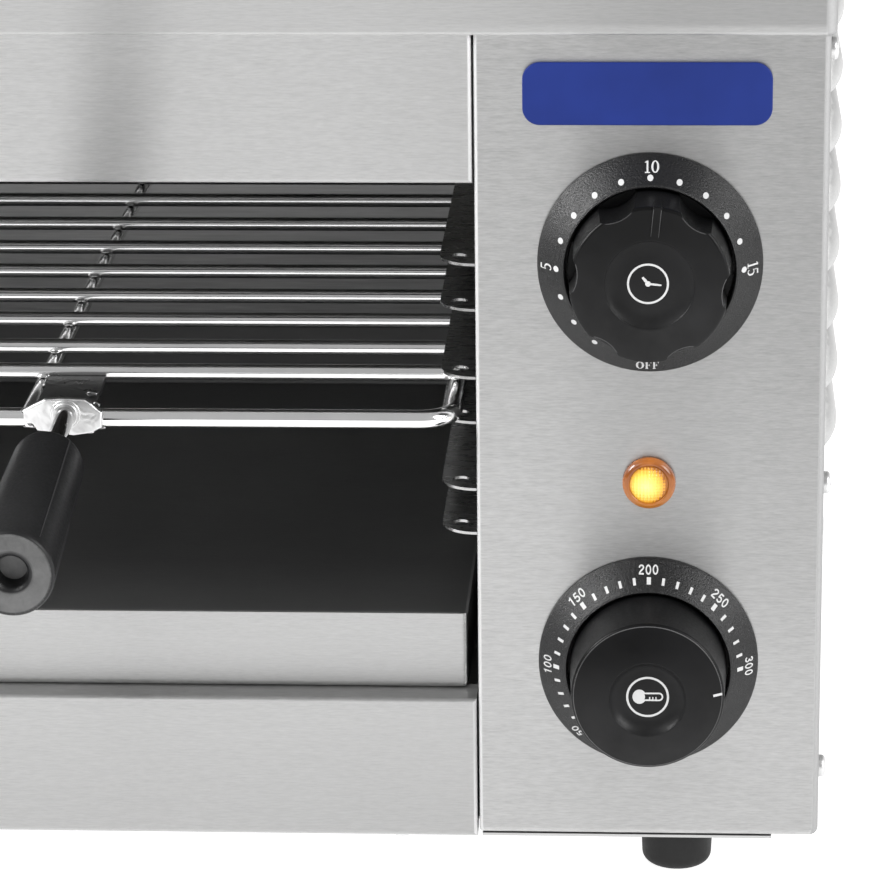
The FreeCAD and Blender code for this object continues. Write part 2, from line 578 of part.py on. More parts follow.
# ================================================================ wire rack
halves = []
for xs in (ROD_XR, ROD_XL):
    halves.append(tube([P(cx, ROD_D0, ROD_Z), P(xs, ROD_D0, ROD_Z),
                        P(xs, ROD_D1, ROD_Z), P(cx, ROD_D1, ROD_Z)], ROD_R, ROD_BEND))
put("rack_frame", fuse(halves))
rungs = []
for dd in RUNG_D:
    c = cyl(ROD_XL - 1.0, dd, ROD_Z + ROD_R + RUNG_R - 0.05, RUNG_R, ROD_XR - ROD_XL + 2.0, "x")
    rungs.append(c)
put("rack_rungs", *rungs)
cross = []
for x in CROSS_X:
    c = cyl(x, ROD_D0, ROD_Z + ROD_R - CROSS_R, CROSS_R, ROD_D1 - ROD_D0)
    c = c.cut([cyl(x - 5, dd, ROD_Z, ROD_R + 0.02, 10, "x") for dd in (ROD_D0, ROD_D1)])
    cross.append(c)
put("rack_cross_wires", *cross)

brackets, collars, studs, grips = [], [], [], []
drop = math.radians(HANDLE_DROP)
LUG_D0 = ROD_D0 - ROD_R - 0.1 - 1.6      # front face of the lug plate
BZ = 152.0                               # height of the stud where it leaves the lug
LUG = [(-12.3, 153.2), (-8.6, 155.1), (-6.0, 156.4), (-1.6, 156.7), (5.7, 156.4), (7.4, 155.3), (9.2, 153.6),
       (10.5, 152.6), (10.5, 148.0), (9.5, 147.5), (7.2, 146.3), (2.0, 145.5), (-6.1, 146.7), (-8.4, 146.9),
       (-9.8, 149.1), (-12.3, 149.7)]
for hx in HANDLE_X:
    flip = -1.0 if hx < cx else 1.0
    pts = [P(hx + flip * x, LUG_D0, z) for x, z in LUG]
    plate = Part.Face(Part.makePolygon(pts + [pts[0]])).extrude(V(0, 1.6, 0))
    front = [e for e in plate.Edges if all(abs(v.Point.y - (FRONT_Y + LUG_D0)) < 0.01 for v in e.Vertexes)]
    plate = plate.makeFillet(0.55, front)
    # tongue from the lug back to the first rung, set slightly askew
    q = [(-8.5, LUG_D0 + 1.0), (8.6, LUG_D0 + 1.0), (7.4, RUNG_D[0] - RUNG_R - 0.05), (-9.4, RUNG_D[0] - RUNG_R - 0.05)]
    q = [P(hx + flip * x, dd, ROD_Z + ROD_R - 0.02) for x, dd in q]
    shelfp = Part.Face(Part.makePolygon(q + [q[0]])).extrude(V(0, 0, 1.52))
    plate = fuse([plate, shelfp])
    plate = plate.cut(cyl(hx, LUG_D0 - 1, BZ, 2.0, 6))
    brackets.append(plate)
    ax = V(0, -math.cos(drop), -math.sin(drop))
    p0 = P(hx, LUG_D0, BZ)
    # stepped washer and rounded nut against the lug
    col = arc_profile([("l", [(0, -LUG_D0), (4.4, -LUG_D0)]), ("l", [(4.4, -LUG_D0), (4.4, -LUG_D0 + 0.2)]),
                       ("a", [(4.4, -LUG_D0 + 0.2), (4.33, -LUG_D0 + 0.42), (4.1, -LUG_D0 + 0.5)]),
                       ("l", [(4.1, -LUG_D0 + 0.5), (3.85, -LUG_D0 + 0.5)]),
                       ("l", [(3.85, -LUG_D0 + 0.5), (3.8, -LUG_D0 + 0.95)]),
                       ("a", [(3.8, -LUG_D0 + 0.95), (3.7, -LUG_D0 + 1.3), (3.35, -LUG_D0 + 1.45)]),
                       ("l", [(3.35, -LUG_D0 + 1.45), (0, -LUG_D0 + 1.45)]), ("l", [(0, -LUG_D0 + 1.45), (0, -LUG_D0)])],
                      hx, BZ)
    stud = Part.makeCylinder(STUD_R, STUD_FREE + 34.0, p0 + ax * 0.75, ax)
    tail = Part.makeCylinder(1.95, 2.55, P(hx, LUG_D0 - 1.0, BZ), V(0, 1, 0))
    stud = stud.fuse(tail)
    col = col.cut(stud)
    collars.append(col.removeSplitter())
    studs.append(stud.removeSplitter())
    # grip: slightly flared moulding with rounded ends, a blind bore and a
    # dished recess in its outer end
    e = [Part.LineSegment(V(0, 0, 0), V(GRIP_R0 - 3.6, 0, 0)).toShape(),
         Part.Arc(V(GRIP_R0 - 3.6, 0, 0), V(GRIP_R0 - 1.2, 0, 0.9), V(GRIP_R0, 0, 4.2)).toShape()]
    bs = Part.BSplineCurve()
    bs.interpolate([V(GRIP_R0 + (GRIP_R1 - GRIP_R0) * (i / 8.0) ** 0.8, 0, 4.2 + (GRIP_L - 5.6) * i / 8.0) for i in range(9)])
    top = GRIP_L - 1.4
    e += [bs.toShape(),
          Part.Arc(V(GRIP_R1, 0, top), V(GRIP_R1 - 0.35, 0, GRIP_L - 0.4), V(GRIP_R1 - 1.3, 0, GRIP_L)).toShape(),
          Part.LineSegment(V(GRIP_R1 - 1.3, 0, GRIP_L), V(6.4, 0, GRIP_L - 0.5)).toShape(),
          Part.Arc(V(6.4, 0, GRIP_L - 0.5), V(4.9, 0, GRIP_L - 1.2), V(4.2, 0, GRIP_L - 2.8)).toShape(),
          Part.LineSegment(V(4.2, 0, GRIP_L - 2.8), V(3.9, 0, GRIP_L - 6.0)).toShape(),
          Part.LineSegment(V(3.9, 0, GRIP_L - 6.0), V(0, 0, GRIP_L - 6.0)).toShape(),
          Part.LineSegment(V(0, 0, GRIP_L - 6.0), V(0, 0, 0)).toShape()]
    g = Part.Face(Part.Wire(e)).revolve(V(0, 0, 0), V(0, 0, 1), 360)
    stretch = FreeCAD.Matrix()
    stretch.scale(1.0, GRIP_OVAL, 1.0)
    g = g.transformGeometry(stretch)
    if g.ShapeType != "Solid":
        g = g.Solids[0]
    g = g.cut(Part.makeCylinder(STUD_R + 0.02, 35.0, V(0, 0, -0.5), V(0, 0, 1)))
    # local x stays level, local y turns to the height of the grip
    up = V(1, 0, 0).cross(ax)
    rot = FreeCAD.Rotation(V(1, 0, 0), up * -1 if up.z < 0 else up, ax, "ZXY")
    g.Placement = FreeCAD.Placement(p0 + ax * (0.75 + STUD_FREE), rot)
    grips.append(g)
put("handle_brackets", *brackets)
put("handle_collars", *collars)
put("handle_studs", *studs)
put("handle_grips", *grips)

# ================================================================ crumb tray
tx0, tx1 = TRAY_X0, TRAY_X1
ty0, ty1 = FRONT_Y + TRAY_D0, FRONT_Y + TRAY_D1
tray = box(tx0, tx1, TRAY_D0, TRAY_D1, TRAY_Z0, TRAY_Z1)
tray = tray.makeFillet(1.9, edges_where(tray, along("x", {"z": (TRAY_Z0,), "y": (ty0, ty1)}))
                       + edges_where(tray, along("y", {"z": (TRAY_Z0,), "x": (tx0, tx1)}))
                       + edges_where(tray, along("z", {"x": (tx0, tx1), "y": (ty0, ty1)})))
ti = box(tx0 + T, tx1 - T, TRAY_D0 + T, TRAY_D1 - T, TRAY_Z0 + T, TRAY_Z1 + 1)
ti = ti.makeFillet(1.1, edges_where(ti, along("x", {"z": (TRAY_Z0 + T,), "y": (ty0 + T, ty1 - T)}))
                   + edges_where(ti, along("y", {"z": (TRAY_Z0 + T,), "x": (tx0 + T, tx1 - T)}))
                   + edges_where(ti, along("z", {"x": (tx0 + T, tx1 - T), "y": (ty0 + T, ty1 - T)})))
hem = box(tx0 + 2.4, tx1 - 2.4, TRAY_D0 + T - 0.05, TRAY_D0 + 2 * T, TRAY_Z1 - 7.0, TRAY_Z1)
tray = tray.cut(ti)
tray = tray.fuse(hem).removeSplitter()
put("crumb_tray", tray)


# ================================================================ dials
def bezel(cz, ri, h):
    ro = BEZEL_R
    w = 1.7
    prof = [(ro, 0.0), (ro, 0.9), (ro - 0.25, 1.25),
            (ri + 0.9, h - 0.35), (ri + 0.35, h), (ri, h - 0.3),
            (ri, 1.6), (5.6, 1.6), (5.6, 0.0),
            (ri - 2.0, 0.0), (ri + 1.2, 0.0), (ri + 1.2 + 0.01, h - 3.4), (ro - 2.4, 0.0)]
    # simple outline: cone outside, pocket inside, flat back
    prof = [(5.6, 0.0), (ro, 0.0), (ro, 0.9), (ro - 0.3, 1.3),
            (ri + 0.95, h - 0.3), (ri + 0.45, h), (ri, h - 0.35), (ri, 1.6), (5.6, 1.6)]
    b = turned(prof, DIAL_X, cz)
    # hollow ring under the cone
    slope = (h - 1.6) / (ro - 0.3 - ri - 0.95)
    ring = turned([(ri + 1.6, -1.0), (ro - 2.6, -1.0), (ro - 2.6, 0.9), (ri + 1.6, h - 3.4)], DIAL_X, cz)
    b = b.cut(ring)
    b = b.cut([cyl(DIAL_X + s * 14, -3, cz, 2.0, 6) for s in (-1, 1)])
    return b


put("timer_bezel", bezel(TIMER_Z, TIMER_BEZEL_RI, TIMER_BEZEL_H))
put("thermostat_bezel", bezel(THERMO_Z, THERMO_BEZEL_RI, THERMO_BEZEL_H))


def knob(cz, r0, r1, h, dish_r, dish_t, edge, crown=0.0):
    """knob blank: drafted skirt, rounded front edge, shallow round dish; the
    face can rise from its rim to the dish"""
    hb = 3.0
    c = edge
    k = c * (1 - math.sqrt(0.5))
    w = 1.3
    rim_h, h = h, h + crown
    pe = [("l", [(0, hb + 1), (r0, hb + 1)]),
          ("l", [(r0, hb + 1), (r1, rim_h - c)]),
          ("a", [(r1, rim_h - c), (r1 - k, rim_h - k), (r1 - c, rim_h)])]
    if crown:
        mr = (r1 - c + dish_r + 0.35) / 2.0
        pe.append(("a", [(r1 - c, rim_h), (mr, rim_h + crown * 0.60), (dish_r + 0.35, h)]))
    else:
        pe.append(("l", [(r1 - c, h), (dish_r + 0.35, h)]))
    pe += [
          ("a", [(dish_r + 0.35, h), (dish_r + 0.08, h - 0.10), (dish_r - 0.15, h - 0.38)]),
          ("a", [(dish_r - 0.15, h - 0.38), (dish_r - w - 1.2, h - dish_t * 0.82), (dish_r - w - 3.4, h - dish_t)]),
          ("l", [(dish_r - w - 3.4, h - dish_t), (0, h - dish_t)]),
          ("l", [(0, h - dish_t), (0, hb + 1)])]
    return arc_profile(pe, DIAL_X, cz)


# timer knob: six finger scallops above a full base ring, pointer ridge
tk = knob(TIMER_Z, TIMER_KNOB_R0, TIMER_KNOB_R1, TIMER_KNOB_H, 12.7, 1.7, 1.0)
SC_R, SC_OFF = 9.8, 30.3
tools = []
for i in range(6):
    a = math.radians(TIMER_REST_DEG + 30 + 60 * i)      # clockwise from the top
    x = DIAL_X + SC_OFF * math.sin(a)
    z = TIMER_Z + SC_OFF * math.cos(a)
    tools.append(cyl(x, -TIMER_KNOB_H - 2, z, SC_R, TIMER_KNOB_H + 2 - 6.6))
tk = tk.cut(tools)
rid = box(DIAL_X - 1.35, DIAL_X + 1.35, -TIMER_KNOB_H - 0.45, -6.4, TIMER_Z + 13.9, TIMER_Z + TIMER_KNOB_R1 + 0.25)
rid = rid.makeFillet(0.4, edges_where(rid, along("z", {"y": (FRONT_Y - TIMER_KNOB_H - 0.45,)}))
                     + edges_where(rid, along("y", {"z": (TIMER_Z + TIMER_KNOB_R1 + 0.25,)}))
                     + edges_where(rid, along("x", {"z": (TIMER_Z + TIMER_KNOB_R1 + 0.25,), "y": (FRONT_Y - TIMER_KNOB_H - 0.45,)})))
rid.rotate(P(DIAL_X, 0, TIMER_Z), V(0, 1, 0), TIMER_REST_DEG)
tk = tk.fuse(rid)


def hollow_knob(k, cz, r0, h, edge_t=2.2):
    pocket = turned([(7.0, 2.0), (r0 - edge_t, 2.0), (r0 - edge_t - 0.6, h - 4.6), (7.0, h - 4.6)], DIAL_X, cz)
    bore = cyl(DIAL_X, -(h - 6.5), cz, SHAFT_R + 0.02, h)
    return k.cut([pocket, bore])


tk = hollow_knob(tk, TIMER_Z, TIMER_KNOB_R0 - 2.2, TIMER_KNOB_H)
put("timer_knob", tk.removeSplitter())

hk = knob(THERMO_Z, THERMO_KNOB_R0, THERMO_KNOB_R1, THERMO_KNOB_H, 11.0, 2.5, 1.0, THERMO_CROWN)
hk = hollow_knob(hk, THERMO_Z, THERMO_KNOB_R0, THERMO_KNOB_H)
put("thermostat_knob", hk.removeSplitter())

# shafts turn in the threaded bushes of the timer and the thermostat
put("timer_shaft", cyl(DIAL_X, -(TIMER_KNOB_H - 6.6), TIMER_Z, SHAFT_R, TIMER_KNOB_H - 6.6 + 22.0))
put("thermostat_shaft", cyl(DIAL_X, -(THERMO_KNOB_H - 6.6), THERMO_Z, SHAFT_R, THERMO_KNOB_H - 6.6 + 18.0))

# timer: round spring case on a square plate, with a bush and a bell
tb = box(DIAL_X - 21, DIAL_X + 21, 1.2, 2.8, TIMER_Z - 19, TIMER_Z + 19)
case = box(DIAL_X - 19, DIAL_X + 19, 2.8, 26.0, TIMER_Z - 18, TIMER_Z + 18)
case = fillet(case, 3.0, along("y", {"x": (DIAL_X - 19, DIAL_X + 19)}))
tb = fuse([tb, case, cyl(DIAL_X, -1.0, TIMER_Z, 4.9, 3.0),
           box(DIAL_X - 14, DIAL_X - 7.7, 26.0, 33.0, TIMER_Z - 6, TIMER_Z - 5.2),
           box(DIAL_X + 7.7, DIAL_X + 14, 26.0, 33.0, TIMER_Z - 6, TIMER_Z - 5.2)])
tb = tb.cut([cyl(DIAL_X, -2, TIMER_Z, SHAFT_R + 0.05, 24.5)]
            + [cyl(DIAL_X + s * 14, 0, TIMER_Z, 1.45, 9.0) for s in (-1, 1)])
put("timer_mechanism", tb)
hb_ = box(DIAL_X - 20, DIAL_X + 20, 1.2, 2.6, THERMO_Z - 10, THERMO_Z + 10)
case = box(DIAL_X - 17, DIAL_X + 17, 2.6, 24.0, THERMO_Z - 16, THERMO_Z + 16)
case = fillet(case, 2.0, along("y", {"x": (DIAL_X - 17, DIAL_X + 17)}))
hb_ = fuse([hb_, case, cyl(DIAL_X, -1.0, THERMO_Z, 4.9, 3.0),
            box(DIAL_X - 12, DIAL_X - 5.7, 24.0, 31.0, THERMO_Z - 9, THERMO_Z - 8.2),
            box(DIAL_X + 5.7, DIAL_X + 12, 24.0, 31.0, THERMO_Z - 9, THERMO_Z - 8.2)])
hb_ = hb_.cut([cyl(DIAL_X, -2, THERMO_Z, SHAFT_R + 0.05, 20.5)]
              + [cyl(DIAL_X + s * 14, 0, THERMO_Z, 1.45, 9.0) for s in (-1, 1)])
put("thermostat_body", hb_)

screws = []
for zc in (TIMER_Z, THERMO_Z):
    for s in (-1, 1):
        x = DIAL_X + s * 14
        screws.append(fuse([cyl(x, -2.5, zc, 3.2, 0.85), cyl(x, -1.66, zc, 1.4, 9.2)]))
put("dial_screws", *screws)

# pilot lamp: amber lens with a shouldered rim, and its body with two tags
lens = arc_profile([("l", [(0, 0.2), (7.7, 0.2)]), ("l", [(7.7, 0.2), (7.7, 0.9)]),
                    ("a", [(7.7, 0.9), (7.2, 2.3), (5.9, 2.9)]),
                    ("l", [(5.9, 2.9), (5.45, 2.5)]),
                    ("a", [(5.45, 2.5), (3.0, 3.35), (0.8, 3.68)]),
                    ("l", [(0.8, 3.68), (0, 3.68)]),
                    ("l", [(0, 3.68), (0, 0.2)])], DIAL_X, LAMP_Z)
put("pilot_lamp_lens", lens)
lb = fuse([cyl(DIAL_X, -0.2, LAMP_Z, 5.9, 18.2), box(DIAL_X - 3.4, DIAL_X - 2.6, 18.0, 26.0, LAMP_Z - 2.4, LAMP_Z + 2.4),
           box(DIAL_X + 2.6, DIAL_X + 3.4, 18.0, 26.0, LAMP_Z - 2.4, LAMP_Z + 2.4)])
put("pilot_lamp_body", lb)
clip = cyl(DIAL_X, 0.95, LAMP_Z, 9.0, 1.0).cut(cyl(DIAL_X, 0, LAMP_Z, 6.0, 4))
put("pilot_lamp_clip", clip)

# capillary and bulb of the thermostat; the bulb lies along the back of the oven
cap = tube([P(DIAL_X, 24.0, THERMO_Z + 8), P(DIAL_X, 60.0, THERMO_Z + 8), P(DIAL_X, 60.0, 130.0),
            P(DIAL_X, 240.0, 130.0), P(DIAL_X, 240.0, BULB_Z), P(DIAL_X, BULB_D, BULB_Z),
            P(WALL_X1 - 8.0, BULB_D, BULB_Z)], 0.9, 14.0)
put("thermostat_capillary", cap)
bulb = fuse([cyl(WALL_X1 - 90.0, BULB_D, BULB_Z, 3.0, 82.0, "x"), Part.makeSphere(3.0, P(WALL_X1 - 90.0, BULB_D, BULB_Z))])
put("thermostat_bulb", bulb)
bc = []
for x in (WALL_X1 - 78.0, WALL_X1 - 24.0):
    c = box(x, x + 8.0, BULB_D - 4.2, CAV_D1, BULB_Z - 4.2, BULB_Z + 4.2)
    c = c.cut([cyl(x - 1, BULB_D, BULB_Z, 3.1, 10, "x"), box(x - 1, x + 9, BULB_D + 4.2, CAV_D1 - 1.2, BULB_Z - 3.0, BULB_Z + 5)])
    bc.append(c)
put("bulb_clips", *bc)

# ================================================================ electrics
tbk = box(226.0, 276.0, 262.0, 282.0, 24.0, 41.0)
tbk = tbk.cut([cyl(232.0 + 9.5 * i, 267.0, 30.0, 2.2, 20, "z") for i in range(5)])
tbk = tbk.cut([cyl(232.0 + 9.5 * i, 277.0, 30.0, 2.2, 20, "z") for i in range(5)])
pedestal = box(222.0, 273.5, 258.0, 286.0, Z_PAN + T + 0.05, 24.0)
put("terminal_block", fuse([tbk, pedestal]))
put("terminal_screws", *[cyl(232.0 + 9.5 * i, dd, 30.2, 2.0, 6.0, "z") for i in range(5) for dd in (267.0, 277.0)])
put("earth_stud", fuse([cyl(218.0, 240.0, Z_PAN + T + 0.05, 2.5, 15.0, "z"),
                        cyl(218.0, 240.0, Z_PAN + T + 0.05, 4.6, 3.2, "z")]))

# threaded gland body, its outer dome nut and the lock nut behind the panel
gb = fuse([cyl(GLAND_X, DEPTH - 12.0, GLAND_Z, 8.0, 16.0), cyl(GLAND_X, DEPTH + 0.02, GLAND_Z, 11.5, 4.0)])
gb = gb.cut(cyl(GLAND_X, DEPTH - 20, GLAND_Z, 4.6, 40))
put("cable_gland_body", gb)
hexn = []
for i in range(6):
    a = math.radians(60 * i)
    hexn.append(P(GLAND_X + 11.6 * math.cos(a), DEPTH + 4.1, GLAND_Z + 11.6 * math.sin(a)))
gn = Part.Face(Part.makePolygon(hexn + [hexn[0]])).extrude(V(0, 5.0, 0))
dome = turned([(4.6, -(DEPTH + 9.05)), (9.8, -(DEPTH + 9.05)), (9.2, -(DEPTH + 12.6)), (7.4, -(DEPTH + 14.6)), (4.6, -(DEPTH + 14.6))],
              GLAND_X, GLAND_Z)
gn = fuse([gn, dome]).cut(cyl(GLAND_X, DEPTH, GLAND_Z, 4.6, 40))
put("cable_gland_nut", gn)
hexn = [P(GLAND_X + 11.6 * math.cos(math.radians(60 * i)), DEPTH - T - 4.1, GLAND_Z + 11.6 * math.sin(math.radians(60 * i)))
        for i in range(6)]
ln = Part.Face(Part.makePolygon(hexn + [hexn[0]])).extrude(V(0, 4.0, 0)).cut(cyl(GLAND_X, DEPTH - 20, GLAND_Z, 8.05, 40))
put("cable_gland_locknut", ln)

# insulated wires between terminal block, timer, thermostat, lamp and elements
XW = DIAL_X
wires = [
    [P(232.0, 267.0, 37.0), P(232.0, 267.0, 62.0), P(224.0, 60.0, 62.0), P(XW - 8.8, 44.0, THERMO_Z - 8.6), P(XW - 8.8, 31.3, THERMO_Z - 8.6)],
    [P(241.5, 267.0, 37.0), P(241.5, 267.0, 112.0), P(236.0, 70.0, 150.0), P(XW - 10.8, 50.0, TIMER_Z - 5.6), P(XW - 10.8, 33.3, TIMER_Z - 5.6)],
    [P(260.5, 267.0, 37.0), P(260.5, 267.0, 100.0), P(266.0, 60.0, 112.0), P(XW + 3.0, 50.0, LAMP_Z), P(XW + 3.0, 26.4, LAMP_Z)],
]
wire_solids = [tube(w, 1.4, 7.0) for w in wires]
for dc, zz in zip(ELEM_D, (188.0, 196.0, 204.0)):
    wire_solids.append(tube([P(WALL_X1 + 20.2, dc - ELEM_SPAN, ELEM_Z), P(WALL_X1 + 36.0, dc - ELEM_SPAN, ELEM_Z),
                             P(WALL_X1 + 36.0, dc + ELEM_SPAN, ELEM_Z), P(WALL_X1 + 20.2, dc + ELEM_SPAN, ELEM_Z)], 1.4, 9.0))
put("internal_wires", *wire_solids)

# ================================================================ feet, screws
feet, fscrews = [], []
for sx in (-1, 1):
    for dd in (FOOT_DF, FOOT_DR):
        x = sx * FOOT_X
        pts = [("l", (5.0, 0.0), (6.6, 0.0))]
        e = [Part.LineSegment(P(x + 5.0, dd, 0), P(x + 7.2, dd, 0)).toShape(),
             Part.Arc(P(x + 7.2, dd, 0), P(x + 9.45, dd, 0.9), P(x + 10.5, dd, 3.2)).toShape(),
             Part.LineSegment(P(x + 10.5, dd, 3.2), P(x + FOOT_R, dd, Z_PAN - 0.05)).toShape(),
             Part.LineSegment(P(x + FOOT_R, dd, Z_PAN - 0.05), P(x + 2.3, dd, Z_PAN - 0.05)).toShape(),
             Part.LineSegment(P(x + 2.3, dd, Z_PAN - 0.05), P(x + 2.3, dd, 6.0)).toShape(),
             Part.LineSegment(P(x + 2.3, dd, 6.0), P(x + 5.0, dd, 6.0)).toShape(),
             Part.LineSegment(P(x + 5.0, dd, 6.0), P(x + 5.0, dd, 0)).toShape()]
        feet.append(Part.Face(Part.Wire(e)).revolve(P(x, dd, 0), V(0, 0, 1), 360))
        fs = fuse([cyl(x, dd, 2.9, 4.2, 3.0, "z"), cyl(x, dd, 5.8, 2.0, 20.0, "z")])
        fscrews.append(fs)
put("feet", *feet)
put("foot_screws", *fscrews)
put("foot_nuts", *[cyl(sx * FOOT_X, dd, Z_PAN + T + 0.02, 4.0, 3.2, "z").cut(cyl(sx * FOOT_X, dd, Z_PAN, 2.02, 8, "z"))
                   for sx in (-1, 1) for dd in (FOOT_DF, FOOT_DR)])


def pan_head(x, d, z, axis, sign, r=3.3, h=2.4, shank_r=1.6, shank=5.0):
    """domed screw head and shank; axis points out of the head"""
    e = [Part.LineSegment(V(0, 0, -shank), V(shank_r, 0, -shank)).toShape(),
         Part.LineSegment(V(shank_r, 0, -shank), V(shank_r, 0, 0)).toShape(),
         Part.LineSegment(V(shank_r, 0, 0), V(r, 0, 0)).toShape(),
         Part.LineSegment(V(r, 0, 0), V(r, 0, 1.1)).toShape(),
         Part.Arc(V(r, 0, 1.1), V(r - 0.22, 0, h - 0.72), V(r - 0.8, 0, h - 0.28)).toShape(),
         Part.Arc(V(r - 0.8, 0, h - 0.28), V(r * 0.42, 0, h - 0.07), V(0, 0, h)).toShape(),
         Part.LineSegment(V(0, 0, h), V(0, 0, -shank)).toShape()]
    s = Part.Face(Part.Wire(e)).revolve(V(0, 0, 0), V(0, 0, 1), 360)
    # cross recess
    s = s.cut([Part.makeBox(4.0, 0.8, 2.0, V(-2.0, -0.4, h - 1.3)), Part.makeBox(0.8, 4.0, 2.0, V(-0.4, -2.0, h - 1.3))])
    out = {"x": V(sign, 0, 0), "y": V(0, sign, 0), "z": V(0, 0, sign)}[axis]
    s.Placement = FreeCAD.Placement(P(x, d, z), FreeCAD.Rotation(V(0, 0, 1), out))
    return s


case_screws = []
for sx in (-1, 1):
    for z in SIDE_SCREW_Z:
        case_screws.append(pan_head(sx * (HALF_W + 0.02), 10.0, z, "x", sx))
    case_screws.append(pan_head(sx * (SIDE_X + 0.02), 32.0, SIDE_SCREW_Z1, "x", sx))
    for z in SIDE_SCREW_Z:
        case_screws.append(pan_head(sx * (SIDE_X + 0.02), 318.0, z, "x", sx))
put("side_screws", *case_screws)
put("base_screws", *[pan_head(x, dd, Z_PAN - 0.02, "z", -1, 3.2, 2.2) for x, dd in BASE_SCREWS])
put("rear_screws", *[pan_head(x, DEPTH + 0.02, z, "y", 1) for x, z in REAR_SCREWS])

# blank plate above the timer
bp = box(215.0, 285.4, -1.15, -0.05, 236.2, 254.2)
bp = fillet(bp, 5.0, along("y", {"x": (215.0, 285.4)}))
bp = bp.makeFillet(0.35, [e for e in bp.Edges if all(abs(v.Point.y - (FRONT_Y - 1.15)) < 0.01 for v in e.Vertexes)])
put("badge_plate", bp)

# ================================================================ export
if __name__ == "__main__":
    os.makedirs("parts", exist_ok=True)
    allb = FreeCAD.BoundBox()
    for name, solids in OUT.items():
        shape = solids[0] if len(solids) == 1 else Part.makeCompound(solids)
        shape.exportStep("parts/" + name + ".step")
        allb.add(shape.BoundBox)
    print(len(OUT), "nodes", sum(len(s) for s in OUT.values()), "solids")
    print("box", [round(v, 3) for v in (allb.XMin, allb.XMax, allb.YMin, allb.YMax, allb.ZMin, allb.ZMax)])
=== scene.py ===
import bpy
import bmesh
import math
from mathutils import Matrix, Vector


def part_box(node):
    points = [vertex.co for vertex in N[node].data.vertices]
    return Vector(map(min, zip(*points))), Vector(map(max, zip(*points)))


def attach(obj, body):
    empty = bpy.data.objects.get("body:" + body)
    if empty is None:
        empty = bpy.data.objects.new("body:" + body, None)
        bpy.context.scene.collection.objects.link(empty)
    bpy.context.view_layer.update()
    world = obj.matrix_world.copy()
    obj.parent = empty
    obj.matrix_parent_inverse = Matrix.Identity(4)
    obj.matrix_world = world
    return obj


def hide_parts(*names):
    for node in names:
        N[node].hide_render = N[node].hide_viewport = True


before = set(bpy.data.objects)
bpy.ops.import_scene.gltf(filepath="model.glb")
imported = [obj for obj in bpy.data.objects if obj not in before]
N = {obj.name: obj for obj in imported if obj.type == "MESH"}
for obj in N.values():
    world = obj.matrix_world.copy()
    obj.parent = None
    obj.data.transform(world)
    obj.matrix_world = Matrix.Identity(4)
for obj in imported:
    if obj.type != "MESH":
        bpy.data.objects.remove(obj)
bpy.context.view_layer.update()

# ------------------------------------------------------------------ frame
# millimetres in here, metres in Blender; d is the depth behind the front plane
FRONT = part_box("control_panel")[0].y * 1000.0
DIAL_X, TIMER_Z, LAMP_Z, THERMO_Z = 251.2, 196.0, 130.2, 75.1


def mm(x, d, z):
    return Vector((x / 1000.0, (FRONT + d) / 1000.0, z / 1000.0))


# ------------------------------------------------------------------ node help
def material(name):
    m = bpy.data.materials.new(name)
    m.use_nodes = True
    m.node_tree.nodes.clear()
    return m


